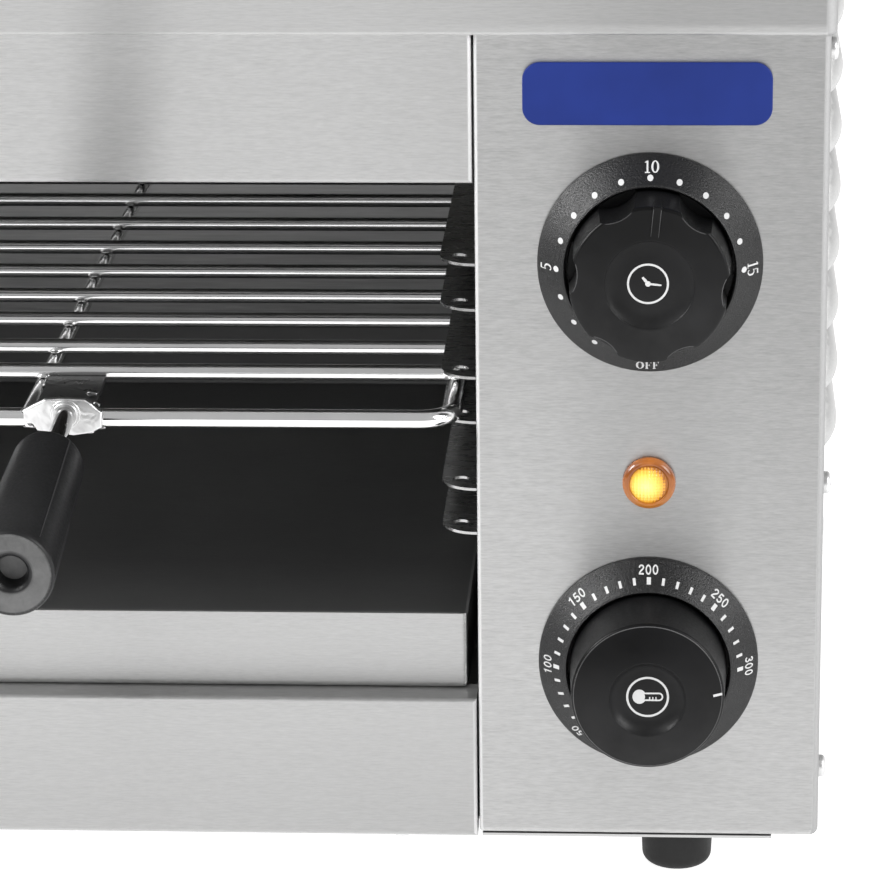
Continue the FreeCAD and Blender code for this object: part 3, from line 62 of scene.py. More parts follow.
class Tree:
    """small helper round a node tree"""

    def __init__(self, mat):
        self.t = mat.node_tree

    def add(self, kind, **props):
        n = self.t.nodes.new(kind)
        for k, v in props.items():
            setattr(n, k, v)
        return n

    def link(self, a, b):
        self.t.links.new(a, b)

    def coords(self, sx, sy, sz, rot=(0, 0, 0)):
        tc = self.add("ShaderNodeTexCoord")
        mp = self.add("ShaderNodeMapping")
        mp.inputs["Scale"].default_value = (sx, sy, sz)
        mp.inputs["Rotation"].default_value = rot
        self.link(tc.outputs["Object"], mp.inputs["Vector"])
        return mp.outputs["Vector"]

    def noise(self, vec, scale=1.0, detail=2.0, rough=0.5, dist=0.0):
        n = self.add("ShaderNodeTexNoise")
        n.inputs["Scale"].default_value = scale
        n.inputs["Detail"].default_value = detail
        n.inputs["Roughness"].default_value = rough
        n.inputs["Distortion"].default_value = dist
        self.link(vec, n.inputs["Vector"])
        return n.outputs["Fac"]

    def ramp(self, fac, stops):
        r = self.add("ShaderNodeValToRGB")
        el = r.color_ramp.elements
        while len(el) < len(stops):
            el.new(0.5)
        for e, (p, c) in zip(el, stops):
            e.position = p
            e.color = c if len(c) == 4 else (*c, 1.0)
        self.link(fac, r.inputs["Fac"])
        return r.outputs["Color"]

    def maprange(self, val, a0, a1, b0, b1, clamp=True):
        m = self.add("ShaderNodeMapRange")
        m.clamp = clamp
        for i, v in enumerate((a0, a1, b0, b1)):
            m.inputs[i + 1].default_value = v
        self.link(val, m.inputs[0])
        return m.outputs[0]

    def math(self, op, a, b=None, c=None):
        m = self.add("ShaderNodeMath", operation=op)
        for i, v in enumerate((a, b, c)):
            if v is None:
                continue
            if isinstance(v, (int, float)):
                m.inputs[i].default_value = v
            else:
                self.link(v, m.inputs[i])
        return m.outputs[0]

    def vmath(self, op, a, b=None):
        m = self.add("ShaderNodeVectorMath", operation=op)
        for i, v in enumerate((a, b)):
            if v is None:
                continue
            if isinstance(v, (tuple, list)):
                m.inputs[i].default_value = v
            else:
                self.link(v, m.inputs[i])
        return m.outputs[0]

    def mix(self, fac, a, b, blend="MIX"):
        m = self.add("ShaderNodeMix", data_type="RGBA", blend_type=blend)
        for sock, v in ((m.inputs[0], fac), (m.inputs[6], a), (m.inputs[7], b)):
            if isinstance(v, (int, float)):
                sock.default_value = v
            elif isinstance(v, (tuple, list)):
                sock.default_value = v if len(v) == 4 else (*v, 1.0)
            else:
                self.link(v, sock)
        return m.outputs[2]

    def bump(self, height, strength, dist, normal=None):
        b = self.add("ShaderNodeBump")
        b.inputs["Strength"].default_value = strength
        b.inputs["Distance"].default_value = dist
        self.link(height, b.inputs["Height"])
        if normal is not None:
            self.link(normal, b.inputs["Normal"])
        return b.outputs["Normal"]

    def principled(self, **vals):
        p = self.add("ShaderNodeBsdfPrincipled")
        o = self.add("ShaderNodeOutputMaterial")
        self.link(p.outputs[0], o.inputs["Surface"])
        for k, v in vals.items():
            k = k.replace("_", " ")
            if isinstance(v, bpy.types.NodeSocket):
                self.link(v, p.inputs[k])
            else:
                if isinstance(v, (tuple, list)) and len(v) == 3 and k in ("Base Color", "Emission Color"):
                    v = (*v, 1.0)
                p.inputs[k].default_value = v
        return p


def grey(v):
    return (v, v, v, 1.0)


def srgb(v):
    v = v / 255.0
    return v / 12.92 if v <= 0.04045 else ((v + 0.055) / 1.055) ** 2.4


# ------------------------------------------------------------------ metals
def smooth(t, val, a0, a1):
    """0 to 1 between a0 and a1 with soft ends"""
    m = t.add("ShaderNodeMapRange", interpolation_type="SMOOTHSTEP")
    for i, v in enumerate((a0, a1, 0.0, 1.0)):
        m.inputs[i + 1].default_value = v
    t.link(val, m.inputs[0])
    return m.outputs[0]


def painted_front_shading(t, hem=False, kind=""):
    """painted shade over the front: darker towards the upper right, and a dark band on the
    left that is a painted reflection of the grip; the hem under the lid is left out of the shade"""
    tc = t.add("ShaderNodeTexCoord")
    sep = t.add("ShaderNodeSeparateXYZ")
    t.link(tc.outputs["Object"], sep.inputs[0])
    x, z = sep.outputs[0], sep.outputs[2]
    if kind == "control":
        # painted shade: lightest halfway down, darker at the bottom, round the upper dial and on the outside
        a = t.math("SUBTRACT", 0.915, t.math("MULTIPLY", t.math("SUBTRACT", 1.0, smooth(t, z, 0.030, 0.080)), 0.035))
        a = t.math("SUBTRACT", a, t.math("MULTIPLY", smooth(t, z, 0.115, 0.195), 0.09))
        out = t.math("MULTIPLY", t.maprange(x, 0.2105, 0.2915, 0.0, 0.135), smooth(t, z, 0.040, 0.120))
        a = t.math("MULTIPLY", a, t.math("SUBTRACT", 1.0, out))
        # painted shade: the folded end is darkened further
        return t.math("MULTIPLY", a, t.maprange(x, 0.3000, 0.3010, 1.0, 0.60))
    if kind == "lower":
        # painted shade: the lower panel darkens towards its bottom edge
        return t.maprange(z, 0.026, 0.055, 0.872, 0.950)
    # painted shade: darker towards the upper right
    kx = t.math("MULTIPLY", smooth(t, x, 0.150, 0.300), 0.25)
    kz = smooth(t, z, 0.050, 0.195)
    if hem:
        kz = t.math("MULTIPLY", kz, t.maprange(z, 0.2640, 0.2655, 0.0, 1.0))
    painted_shade = t.math("SUBTRACT", 1.0, t.math("MULTIPLY", kx, kz))
    # painted reflection of the grip: a slanted dark band over the upper panel, weaker on the lid
    wob = t.noise(t.coords(6, 6, 22), 1.0, 2.0, 0.5)
    slant = t.math("MULTIPLY", t.math("SUBTRACT", z, 0.2255), 0.118)
    off = t.math("SUBTRACT", t.math("SUBTRACT", t.math("ADD", x, t.math("MULTIPLY", wob, 0.010)), slant), 0.1037)
    near = t.math("SUBTRACT", 1.0, smooth(t, t.math("ABSOLUTE", off), 0.001, 0.019))
    high = smooth(t, z, 0.195, 0.225)
    lid = t.math("SUBTRACT", 1.0, t.math("MULTIPLY", smooth(t, z, 0.225, 0.275), 0.6))
    painted_grip_reflection = t.math("MULTIPLY", t.math("MULTIPLY", near, high), t.math("MULTIPLY", lid, 0.20))
    painted_shade = t.math("MULTIPLY", painted_shade, t.math("SUBTRACT", 1.0, painted_grip_reflection))
    # painted shade: the folded ends are darkened below the front
    return t.math("MULTIPLY", painted_shade, t.maprange(t.math("ABSOLUTE", x), 0.3004, 0.3014, 1.0, 0.62))


def brushed(name, base=0.62, rough=0.34, aniso=0.85, grain=0.05, lines=(230.0, 2100.0), bump=0.25,
            blotch=0.03, tint=(1.0, 1.0, 0.995), front=False, hem=False, kind=""):
    """brushed sheet: fine scratches along the length of each face, with the
    highlights drawn out across them"""
    m = material(name)
    t = Tree(m)
    geo = t.add("ShaderNodeNewGeometry")
    sep = t.add("ShaderNodeSeparateXYZ")
    t.link(geo.outputs["True Normal"], sep.inputs[0])
    ax = t.math("ABSOLUTE", sep.outputs[0])
    side = t.math("GREATER_THAN", ax, 0.72)
    comb = t.add("ShaderNodeCombineXYZ")
    t.link(t.math("SUBTRACT", 1.0, side), comb.inputs[0])
    t.link(side, comb.inputs[1])
    comb.inputs[2].default_value = 0.0
    tang = t.vmath("CROSS_PRODUCT", geo.outputs["Normal"], comb.outputs[0])
    # scratches: long in x or y, very fine across
    lo, hi = lines
    vx = t.coords(lo, hi, hi)
    vy = t.coords(hi, lo, hi)
    nx = t.noise(vx, 1.0, 3.0, 0.62)
    ny = t.noise(vy, 1.0, 3.0, 0.62)
    vx2 = t.coords(lo * 0.35, hi * 0.42, hi * 0.42)
    n2 = t.noise(vx2, 1.0, 2.0, 0.5)
    fine = t.math("ADD", t.math("MULTIPLY", nx, t.math("SUBTRACT", 1.0, side)), t.math("MULTIPLY", ny, side))
    fine = t.math("ADD", t.math("MULTIPLY", fine, 0.7), t.math("MULTIPLY", n2, 0.3))
    big = t.noise(t.coords(5.0, 5.0, 7.0), 1.0, 3.0, 0.55)
    col = t.math("ADD", t.maprange(fine, 0.30, 0.70, base * (1 - grain), base * (1 + grain), False),
                 t.maprange(big, 0.3, 0.7, -blotch * base, blotch * base))
    # painted shade and a painted reflection of the grip over the front panels
    if front:
        col = t.math("MULTIPLY", col, painted_front_shading(t, hem, kind))
    rgb = t.mix(1.0, col, (*tint, 1.0), "MULTIPLY")
    rg = t.maprange(fine, 0.30, 0.70, rough - 0.05, rough + 0.05)
    if front:
        # the grain breaks up over the folds, which look matt and even
        nrm = t.add("ShaderNodeSeparateXYZ")
        t.link(geo.outputs["Normal"], nrm.inputs[0])
        bx = t.math("ABSOLUTE", nrm.outputs[0])
        fold = t.math("MULTIPLY", smooth(t, bx, 0.04, 0.20), t.math("SUBTRACT", 1.0, smooth(t, bx, 0.97, 0.999)))
        rg = t.math("ADD", rg, t.math("MULTIPLY", fold, 0.30))
        an = t.math("SUBTRACT", aniso, t.math("MULTIPLY", fold, aniso - 0.10))
        # painted shade: the folds at the ends of the casing get a darker colour and a lower specular tint than those at
        # the seams between the panels
        po = t.add("ShaderNodeSeparateXYZ")
        t.link(t.add("ShaderNodeTexCoord").outputs["Object"], po.inputs[0])
        px = t.math("ABSOLUTE", po.outputs[0])
        rgb = t.mix(fold, rgb, t.maprange(px, 0.2985, 0.3000, 0.66, 0.44))
        t.principled(Base_Color=rgb, Metallic=1.0, Roughness=rg, Anisotropic=an, Tangent=tang,
                     Specular_Tint=t.maprange(px, 0.2985, 0.3000, 1.0, 0.57),
                     Normal=t.bump(fine, bump, 0.00002))
        return m
    t.principled(Base_Color=rgb, Metallic=1.0, Roughness=rg, Anisotropic=aniso, Tangent=tang,
                 Normal=t.bump(fine, bump, 0.00002))
    return m


def chrome(name, base=0.86, rough=0.07, wear=0.04, ripple=False):
    m = material(name)
    t = Tree(m)
    n = t.noise(t.coords(90, 90, 90), 1.0, 4.0, 0.6)
    n2 = t.noise(t.coords(900, 900, 900), 1.0, 2.0, 0.5)
    rg = t.maprange(n, 0.35, 0.75, rough, rough + wear)
    col = t.ramp(n, [(0.25, grey(base * 0.93)), (0.7, grey(base))])
    nrm = t.bump(n2, 0.05, 0.00003)
    if ripple:
        # plating over hammered metal; the tongue behind, close to the panel, is painted dark as shade
        n3 = t.noise(t.coords(170, 170, 170), 1.0, 2.0, 0.5, 0.8)
        nrm = t.bump(n3, 0.25, 0.0010, nrm)
        tc = t.add("ShaderNodeTexCoord")
        sep = t.add("ShaderNodeSeparateXYZ")
        t.link(tc.outputs["Object"], sep.inputs[0])
        behind = t.math("GREATER_THAN", sep.outputs[1], (FRONT - 5.6) / 1000.0)
        stain = t.ramp(n3, [(0.30, grey(base * 0.70)), (0.56, grey(base))])
        col = t.mix(behind, stain, grey(0.20))
    t.principled(Base_Color=col, Metallic=1.0, Roughness=rg, Normal=nrm)
    return m


def plastic(name, base=(0.02, 0.02, 0.021), rough=0.35, grain=900.0, bump=0.15, spec=0.5, var=0.25, coat=0.0, dist=0.00005):
    m = material(name)
    t = Tree(m)
    fine = t.noise(t.coords(grain, grain, grain), 1.0, 3.0, 0.6)
    big = t.noise(t.coords(45, 45, 45), 1.0, 3.0, 0.55)
    dark = tuple(c * (1 - var) for c in base)
    light = tuple(c * (1 + var) for c in base)
    col = t.ramp(big, [(0.3, (*dark, 1.0)), (0.7, (*light, 1.0))])
    rg = t.maprange(fine, 0.3, 0.7, rough - 0.06, rough + 0.06)
    t.principled(Base_Color=col, Roughness=rg, Specular_IOR_Level=spec, Coat_Weight=coat, Coat_Roughness=0.2,
                 Normal=t.bump(fine, bump, dist))
    return m


M = {}
M["panel"] = brushed("steel_brushed", base=0.592, rough=0.39, aniso=0.97, grain=0.16, lines=(290.0, 2100.0), blotch=0.02, front=True)
# painted shade: the left side panel is a darker copy of the right one
M["side_left"] = brushed("side_left_painted_shade", base=0.44, rough=0.46, aniso=0.5, grain=0.10, blotch=0.02)
M["side"] = brushed("side_brushed", base=0.55, rough=0.48, aniso=0.5, grain=0.10, blotch=0.02)
M["control"] = brushed("control_brushed", base=0.61, rough=0.39, aniso=0.97, grain=0.215, lines=(300.0, 2100.0), blotch=0.02, front=True, kind="control")
M["lower"] = brushed("lower_brushed", base=0.572, rough=0.39, aniso=0.97, grain=0.15, lines=(270.0, 2100.0), blotch=0.02, front=True, kind="lower")
M["lid"] = brushed("lid_brushed", base=0.582, rough=0.39, aniso=0.97, grain=0.13, blotch=0.02, front=True, hem=True)
M["oven"] = brushed("oven_sheet", base=0.38, rough=0.34, aniso=0.35, grain=0.16, lines=(60.0, 1500.0), blotch=0.12)
M["back"] = brushed("back_sheet_painted_light", base=0.40, rough=0.34, aniso=0.35, grain=0.16, lines=(60.0, 1500.0), blotch=0.12)
# painted light: the back wall is lightened towards its bottom
tb = Tree(M["back"])
pb = [n for n in M["back"].node_tree.nodes if n.type == "BSDF_PRINCIPLED"][0]
oldb = pb.inputs["Base Color"].links[0].from_socket
tcb = tb.add("ShaderNodeTexCoord")
sepb = tb.add("ShaderNodeSeparateXYZ")
tb.link(tcb.outputs["Object"], sepb.inputs[0])
painted_light_low = tb.math("SUBTRACT", 1.0, smooth(tb, sepb.outputs[2], 0.075, 0.135))
tb.link(tb.mix(1.0, oldb, tb.math("ADD", 1.0, tb.math("MULTIPLY", painted_light_low, 0.75)), "MULTIPLY"), pb.inputs["Base Color"])
M["base"] = brushed("base_sheet", base=0.46, rough=0.42, aniso=0.2, grain=0.08, blotch=0.10)
M["chrome"] = chrome("chrome_wire", base=0.84, rough=0.15, wear=0.05)
M["rod"] = chrome("chrome_rod", base=0.94, rough=0.11, wear=0.05)
M["rail"] = brushed("runner_steel", base=0.38, rough=0.28, aniso=0.2, grain=0.20, lines=(160.0, 700.0), blotch=0.40)
M["lug"] = chrome("lug_plated", base=0.72, rough=0.26, wear=0.12, ripple=True)
M["stud"] = chrome("stud_dark", base=0.42, rough=0.10, wear=0.06)
M["zinc"] = chrome("screw_zinc", base=0.70, rough=0.34, wear=0.1)
M["element"] = plastic("element_sheath", base=(0.12, 0.115, 0.105), rough=0.5, grain=600, bump=0.3)
M["brass"] = chrome("brass_turned", base=0.7, rough=0.22, wear=0.1)
M["ceramic"] = plastic("ceramic_glazed", base=(0.75, 0.73, 0.68), rough=0.3, grain=400, var=0.05, coat=0.3)
M["wool"] = plastic("wool_board", base=(0.62, 0.6, 0.54), rough=0.9, grain=500, bump=0.8, var=0.12)
M["nylon"] = plastic("gland_nylon", base=(0.03, 0.03, 0.03), rough=0.5)
M["case"] = plastic("switch_case", base=(0.55, 0.53, 0.47), rough=0.55, var=0.06)
M["sleeve"] = plastic("wire_sleeve", base=(0.7, 0.7, 0.66), rough=0.8, grain=2500, bump=0.6, var=0.08)
M["bezel"] = plastic("bezel_satin", base=(0.0060, 0.0060, 0.0064), rough=0.31, grain=1900, bump=1.0, spec=0.38, dist=0.00022)
M["rubber"] = plastic("foot_rubber", base=(0.012, 0.012, 0.012), rough=0.6, grain=900, bump=0.4, spec=0.3)
M["badge"] = plastic("badge_blue", base=(0.011, 0.026, 0.165), rough=0.45, grain=1500, bump=0.05, spec=0.15, var=0.12)
# painted highlight colour for the knob edges
M["edge"] = plastic("knob_rim_painted_highlight", base=(0.060, 0.060, 0.061), rough=0.3, grain=900, bump=0.1, spec=0.4, var=0.4)
# painted highlight: the parting line ridge is coloured lighter than the grip it sits on
M["parting"] = plastic("grip_line_painted_highlight", base=(0.040, 0.040, 0.041), rough=0.4, grain=1200, bump=0.1, spec=0.35)
M["white"] = plastic("print_white", base=(0.56, 0.56, 0.56), rough=0.5, grain=1500, bump=0.05, var=0.03)


def tray_steel():
    """brushed tray: bright on the outside and the front lip; painted shade darkens the
    inside, with painted light towards the front opening and lighter towards the back"""
    m = brushed("tray_brushed_painted_shade", base=0.527, rough=0.37, aniso=0.95, grain=0.15, lines=(270.0, 2100.0))
    t = Tree(m)
    p = [n for n in m.node_tree.nodes if n.type == "BSDF_PRINCIPLED"][0]
    old = p.inputs["Base Color"].links[0].from_socket
    tc = t.add("ShaderNodeTexCoord")
    sep = t.add("ShaderNodeSeparateXYZ")
    t.link(tc.outputs["Object"], sep.inputs[0])
    # depth behind the lip, a ramp towards the back, and a height above which the inside starts
    depth = t.math("GREATER_THAN", sep.outputs[1], (FRONT + 8.5) / 1000.0)
    back = t.maprange(sep.outputs[1], (FRONT + 60.0) / 1000.0, (FRONT + 310.0) / 1000.0, 0.0, 1.0)
    shade_mottle = t.noise(t.coords(9, 14, 9), 1.0, 4.0, 0.55)
    # painted light from the front opening, fading towards the back
    front = t.maprange(sep.outputs[1], (FRONT + 10.0) / 1000.0, (FRONT + 120.0) / 1000.0, 0.28, 0.0)
    # painted shade inside, mottled and a little lighter towards the back
    dark = t.math("ADD", t.maprange(shade_mottle, 0.3, 0.7, 0.17, 0.23), t.math("MULTIPLY", back, 0.07))
    dark = t.math("ADD", dark, front)
    under = t.math("GREATER_THAN", sep.outputs[2], 0.06330)
    inner = t.math("MULTIPLY", depth, under)
    col = t.mix(inner, old, dark)
    t.link(col, p.inputs["Base Color"])
    return m


M["tray"] = tray_steel()


def knob_plastic(name, zc):
    """polished black moulding, greyed towards its lower half by a painted reflection"""
    m = plastic(name, base=(0.0040, 0.0040, 0.0043), rough=0.36, grain=1300, bump=0.15, spec=0.155, var=0.6)
    t = Tree(m)
    p = [n for n in m.node_tree.nodes if n.type == "BSDF_PRINCIPLED"][0]
    old = p.inputs["Base Color"].links[0].from_socket
    tc = t.add("ShaderNodeTexCoord")
    sep = t.add("ShaderNodeSeparateXYZ")
    t.link(tc.outputs["Object"], sep.inputs[0])
    n = t.noise(t.coords(130, 130, 130), 1.0, 4.0, 0.6)
    # painted reflection: the lower half is lightened, mottled
    low = t.math("SUBTRACT", 1.0, smooth(t, sep.outputs[2], (zc - 22.0) / 1000.0, (zc + 16.0) / 1000.0))
    add = t.math("MULTIPLY", low, t.maprange(n, 0.3, 0.7, 0.006, 0.013))
    col = t.mix(1.0, old, add, "ADD")
    t.link(col, p.inputs["Base Color"])
    return m


M["knob_a"] = knob_plastic("knob_black_upper", TIMER_Z)
M["knob_b"] = knob_plastic("knob_black_lower", THERMO_Z)


def grip_plastic():
    """moulded grip: nearly black, its outer end face made paler by a painted reflection"""
    m = plastic("grip_bakelite", base=(0.0075, 0.0075, 0.008), rough=0.42, grain=1200, bump=0.15, spec=0.30)
    t = Tree(m)
    p = [n for n in m.node_tree.nodes if n.type == "BSDF_PRINCIPLED"][0]
    old = p.inputs["Base Color"].links[0].from_socket
    geo = t.add("ShaderNodeNewGeometry")
    sep = t.add("ShaderNodeSeparateXYZ")
    t.link(geo.outputs["Normal"], sep.inputs[0])
    # painted reflection: the forward-facing end face of the grip is made paler
    face = t.maprange(sep.outputs[1], -0.90, -0.985, 0.0, 1.0)
    tc = t.add("ShaderNodeTexCoord")
    pos = t.add("ShaderNodeSeparateXYZ")
    t.link(tc.outputs["Object"], pos.inputs[0])
    far = t.math("LESS_THAN", pos.outputs[1], (FRONT - 100.0) / 1000.0)
    n = t.noise(t.coords(260, 260, 260), 1.0, 3.0, 0.6)
    pale = t.maprange(n, 0.3, 0.7, 0.085, 0.13)
    col = t.mix(t.math("MULTIPLY", face, far), old, pale)
    t.link(col, p.inputs["Base Color"])
    return m


M["grip"] = grip_plastic()


def lamp_glass(name, rim):
    """amber moulding: brown at the rim, glowing yellow in the middle"""
    m = material(name)
    t = Tree(m)
    tc = t.add("ShaderNodeTexCoord")
    off = t.vmath("SUBTRACT", tc.outputs["Object"], tuple(mm(DIAL_X - 0.9, 0, LAMP_Z - 0.4)))
    flat = t.vmath("MULTIPLY", off, (1.0, 0.0, 1.0))
    ln = t.add("ShaderNodeVectorMath", operation="LENGTH")
    t.link(flat, ln.inputs[0])
    r = ln.outputs["Value"]
    if rim:
        sep = t.add("ShaderNodeSeparateXYZ")
        t.link(off, sep.inputs[0])
        n = t.noise(t.coords(300, 300, 300), 1.0, 2.0, 0.5)
        # colour set by height: painted shade darkens the rim towards its top, with a lighter top edge
        v = t.math("ADD", t.maprange(sep.outputs[2], -0.008, 0.008, 0.0, 1.0), t.maprange(n, 0.3, 0.7, -0.08, 0.08))
        col = t.ramp(v, [(0.0, (0.36, 0.125, 0.014)), (0.45, (0.30, 0.090, 0.010)), (0.80, (0.17, 0.042, 0.004)), (1.0, (0.34, 0.110, 0.022))])
        t.principled(Base_Color=col, Roughness=0.22, Specular_IOR_Level=0.4, Coat_Weight=0.3, Coat_Roughness=0.10,
                     Emission_Color=col, Emission_Strength=0.12)
    else:
        sep = t.add("ShaderNodeSeparateXYZ")
        t.link(off, sep.inputs[0])
        wx = t.math("SINE", t.math("MULTIPLY", sep.outputs[0], 6283.0 / 0.95))
        wz = t.math("SINE", t.math("MULTIPLY", sep.outputs[2], 6283.0 / 0.95))
        wob = t.math("ADD", t.math("MULTIPLY", wx, 0.00028), t.math("MULTIPLY", wz, 0.00014))
        v = t.maprange(t.math("ADD", r, wob), 0.0, 0.0056, 0.0, 1.0)
        col = t.ramp(v, [(0.0, (0.88, 0.78, 0.24)), (0.35, (0.84, 0.66, 0.15)), (0.7, (0.74, 0.46, 0.055)), (0.93, (0.60, 0.28, 0.022)), (1.0, (0.30, 0.10, 0.008))])
        t.principled(Base_Color=col, Roughness=0.22, Specular_IOR_Level=0.5, Coat_Weight=0.3, Coat_Roughness=0.1,
                     Emission_Color=col, Emission_Strength=0.30)
    return m


M["lamp_rim"] = lamp_glass("lamp_rim_amber", True)
M["lamp_lens"] = lamp_glass("lamp_lens_amber", False)

look = {
    "base_pan": "base", "rear_panel": "base", "lid": "lid",
    "left_side_panel": "side_left", "right_side_panel": "side", "control_panel": "control", "left_front_post": "panel",
    "upper_front_panel": "panel", "lower_front_panel": "lower",
    "oven_left_wall": "oven", "oven_right_wall": "oven", "oven_back_wall": "back", "tray_shelf": "oven",
    "ceiling_reflector": "oven", "element_hangers": "oven", "crumb_tray": "tray",
    "top_insulation": "wool", "side_insulation_board": "wool", "heating_elements": "element",
    "element_bushes": "ceramic", "element_clamp_nuts": "brass", "rivets": "zinc",
    "rack_runners_left": "rail", "rack_runners_right": "rail",
    "rack_frame": "rod", "rack_rungs": "chrome", "rack_cross_wires": "chrome",
    "handle_brackets": "lug", "handle_collars": "lug", "handle_studs": "stud", "handle_grips": "grip",
    "timer_bezel": "bezel", "thermostat_bezel": "bezel", "timer_knob": "knob_a", "thermostat_knob": "knob_b",
    "timer_shaft": "brass", "thermostat_shaft": "brass", "timer_mechanism": "case", "thermostat_body": "case",
    "dial_screws": "zinc", "pilot_lamp_lens": "lamp_rim", "pilot_lamp_body": "case", "pilot_lamp_clip": "zinc",
    "thermostat_capillary": "brass", "thermostat_bulb": "brass", "bulb_clips": "zinc",
    "terminal_block": "ceramic", "terminal_screws": "brass", "earth_stud": "brass",
    "cable_gland_body": "nylon", "cable_gland_nut": "nylon", "cable_gland_locknut": "nylon",
    "internal_wires": "sleeve", "feet": "rubber", "foot_screws": "zinc", "foot_nuts": "zinc",
    "side_screws": "zinc", "rear_screws": "zinc", "base_screws": "zinc", "badge_plate": "badge",
}
for node, key in look.items():
    ob = N[node]
    ob.data.materials.clear()
    ob.data.materials.append(M[key])
for node in N:
    if node not in look:
        raise RuntimeError("no look for " + node)


# ------------------------------------------------------------------ pieces
def piece(name, bm, mats, body, smooth=False):
    me = bpy.data.meshes.new(name)
    bmesh.ops.recalc_face_normals(bm, faces=bm.faces)
    bm.to_mesh(me)
    bm.free()
    for m in mats:
        me.materials.append(m)
    if smooth:
        for p in me.polygons:
            p.use_smooth = True
    ob = bpy.data.objects.new(name, me)
    bpy.context.scene.collection.objects.link(ob)
    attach(ob, body)
    return ob


def refine(pts, widths, step, closed):
    """points and half widths with no run longer than step"""
    out, wout = [], []
    n = len(pts)
    last = n if closed else n - 1
    for i in range(last):
        a, b = pts[i], pts[(i + 1) % n]
        wa, wb = widths[i], widths[(i + 1) % n]
        k = max(1, int(math.ceil(math.dist(a, b) / step)))
        for j in range(k):
            f = j / k
            out.append((a[0] + (b[0] - a[0]) * f, a[1] + (b[1] - a[1]) * f))
            wout.append(wa + (wb - wa) * f)
    if not closed:
        out.append(pts[-1])
        wout.append(widths[-1])
    return out, wout


def ribbon(bm, pts, width, place, step=0.5, closed=False, lo=-0.12, hi=0.05):
    """thin closed solid along a line: place(u, v, lift) gives its 3-D point"""
    widths = list(width) if isinstance(width, (list, tuple)) else [width] * len(pts)
    pts, widths = refine([tuple(p) for p in pts], widths, step, closed)
    n = len(pts)
    rows = []
    for i, (p, w) in enumerate(zip(pts, widths)):
        a = pts[i - 1] if (i or closed) else p
        b = pts[(i + 1) % n] if (i < n - 1 or closed) else p
        dx, dy = b[0] - a[0], b[1] - a[1]
        ln = math.hypot(dx, dy) or 1.0
        nx, ny = -dy / ln, dx / ln
        l, r = (p[0] + nx * w, p[1] + ny * w), (p[0] - nx * w, p[1] - ny * w)
        rows.append([bm.verts.new(place(l[0], l[1], hi)), bm.verts.new(place(r[0], r[1], hi)),
                     bm.verts.new(place(r[0], r[1], lo)), bm.verts.new(place(l[0], l[1], lo))])
    for i in range(n if closed else n - 1):
        a, b = rows[i], rows[(i + 1) % n]
        for k in range(4):
            bm.faces.new((a[k], a[(k + 1) % 4], b[(k + 1) % 4], b[k]))
    if not closed:
        bm.faces.new(rows[0])
        bm.faces.new(list(reversed(rows[-1])))


def disc(bm, u, v, r, place, n=24, lo=-0.12, hi=0.05, flat=1.0):
    """round dot; flat squeezes it towards the middle of the dial"""
    k = math.hypot(u, v) or 1.0
    pts = []
    for i in range(n):
        a, b = r * math.cos(2 * math.pi * i / n), r * flat * math.sin(2 * math.pi * i / n)
        pts.append((u + (a * v + b * u) / k, v + (-a * u + b * v) / k) if flat != 1.0 else (u + a, v + b))
    top = [bm.verts.new(place(x, y, hi)) for x, y in pts]
    bot = [bm.verts.new(place(x, y, lo)) for x, y in pts]
    ct, cb = bm.verts.new(place(u, v, hi)), bm.verts.new(place(u, v, lo))
    for i in range(n):
        j = (i + 1) % n
        bm.faces.new((ct, top[i], top[j]))
        bm.faces.new((cb, bot[j], bot[i]))
        bm.faces.new((top[i], bot[i], bot[j], top[j]))


def ell(cx, cy, rx, ry, n=28, a0=0.0, a1=360.0):
    full = abs(a1 - a0) >= 360.0
    k = n if full else n + 1
    return [(cx + rx * math.sin(math.radians(a0 + (a1 - a0) * i / n)), cy + ry * math.cos(math.radians(a0 + (a1 - a0) * i / n)))
            for i in range(k)]


# strokes of each figure in a box one unit high: (points, half widths, closed)
def side_heavy(pts, cx, thick, thin, rx):
    return [thin + (thick - thin) * min(1.0, abs(p[0] - cx) / rx) ** 1.5 for p in pts]


def serif(ch):
    if ch == "0":
        e = ell(0.32, 0.5, 0.225, 0.45)
        return 0.64, [(e, side_heavy(e, 0.32, 0.085, 0.035, 0.225), True)]
    if ch == "O":
        e = ell(0.40, 0.5, 0.30, 0.44)
        return 0.82, [(e, side_heavy(e, 0.40, 0.10, 0.04, 0.30), True)]
    if ch == "1":
        return 0.50, [([(0.27, 0.02), (0.27, 0.97)], 0.075, False), ([(0.07, 0.035), (0.47, 0.035)], 0.035, False),
                      ([(0.27, 0.93), (0.17, 0.87), (0.07, 0.83)], [0.05, 0.04, 0.025], False)]
    if ch == "5":
        return 0.62, [([(0.13, 0.93), (0.52, 0.93)], [0.055, 0.06], False), ([(0.14, 0.95), (0.11, 0.50)], 0.03, False),
                      ([(0.11, 0.52), (0.20, 0.585), (0.32, 0.60), (0.44, 0.54), (0.51, 0.42), (0.51, 0.26), (0.43, 0.12),
                        (0.30, 0.05), (0.17, 0.06), (0.09, 0.15)],
                       [0.02, 0.03, 0.04, 0.06, 0.08, 0.08, 0.06, 0.04, 0.035, 0.055], False)]
    if ch == "F":
        return 0.68, [([(0.20, 0.02), (0.20, 0.98)], 0.085, False), ([(0.05, 0.96), (0.62, 0.96)], 0.035, False),
                      ([(0.60, 0.97), (0.63, 0.76)], [0.04, 0.02], False), ([(0.20, 0.51), (0.46, 0.51)], 0.03, False),
                      ([(0.46, 0.38), (0.46, 0.64)], 0.025, False), ([(0.05, 0.035), (0.37, 0.035)], 0.035, False)]
    return 0.4, []


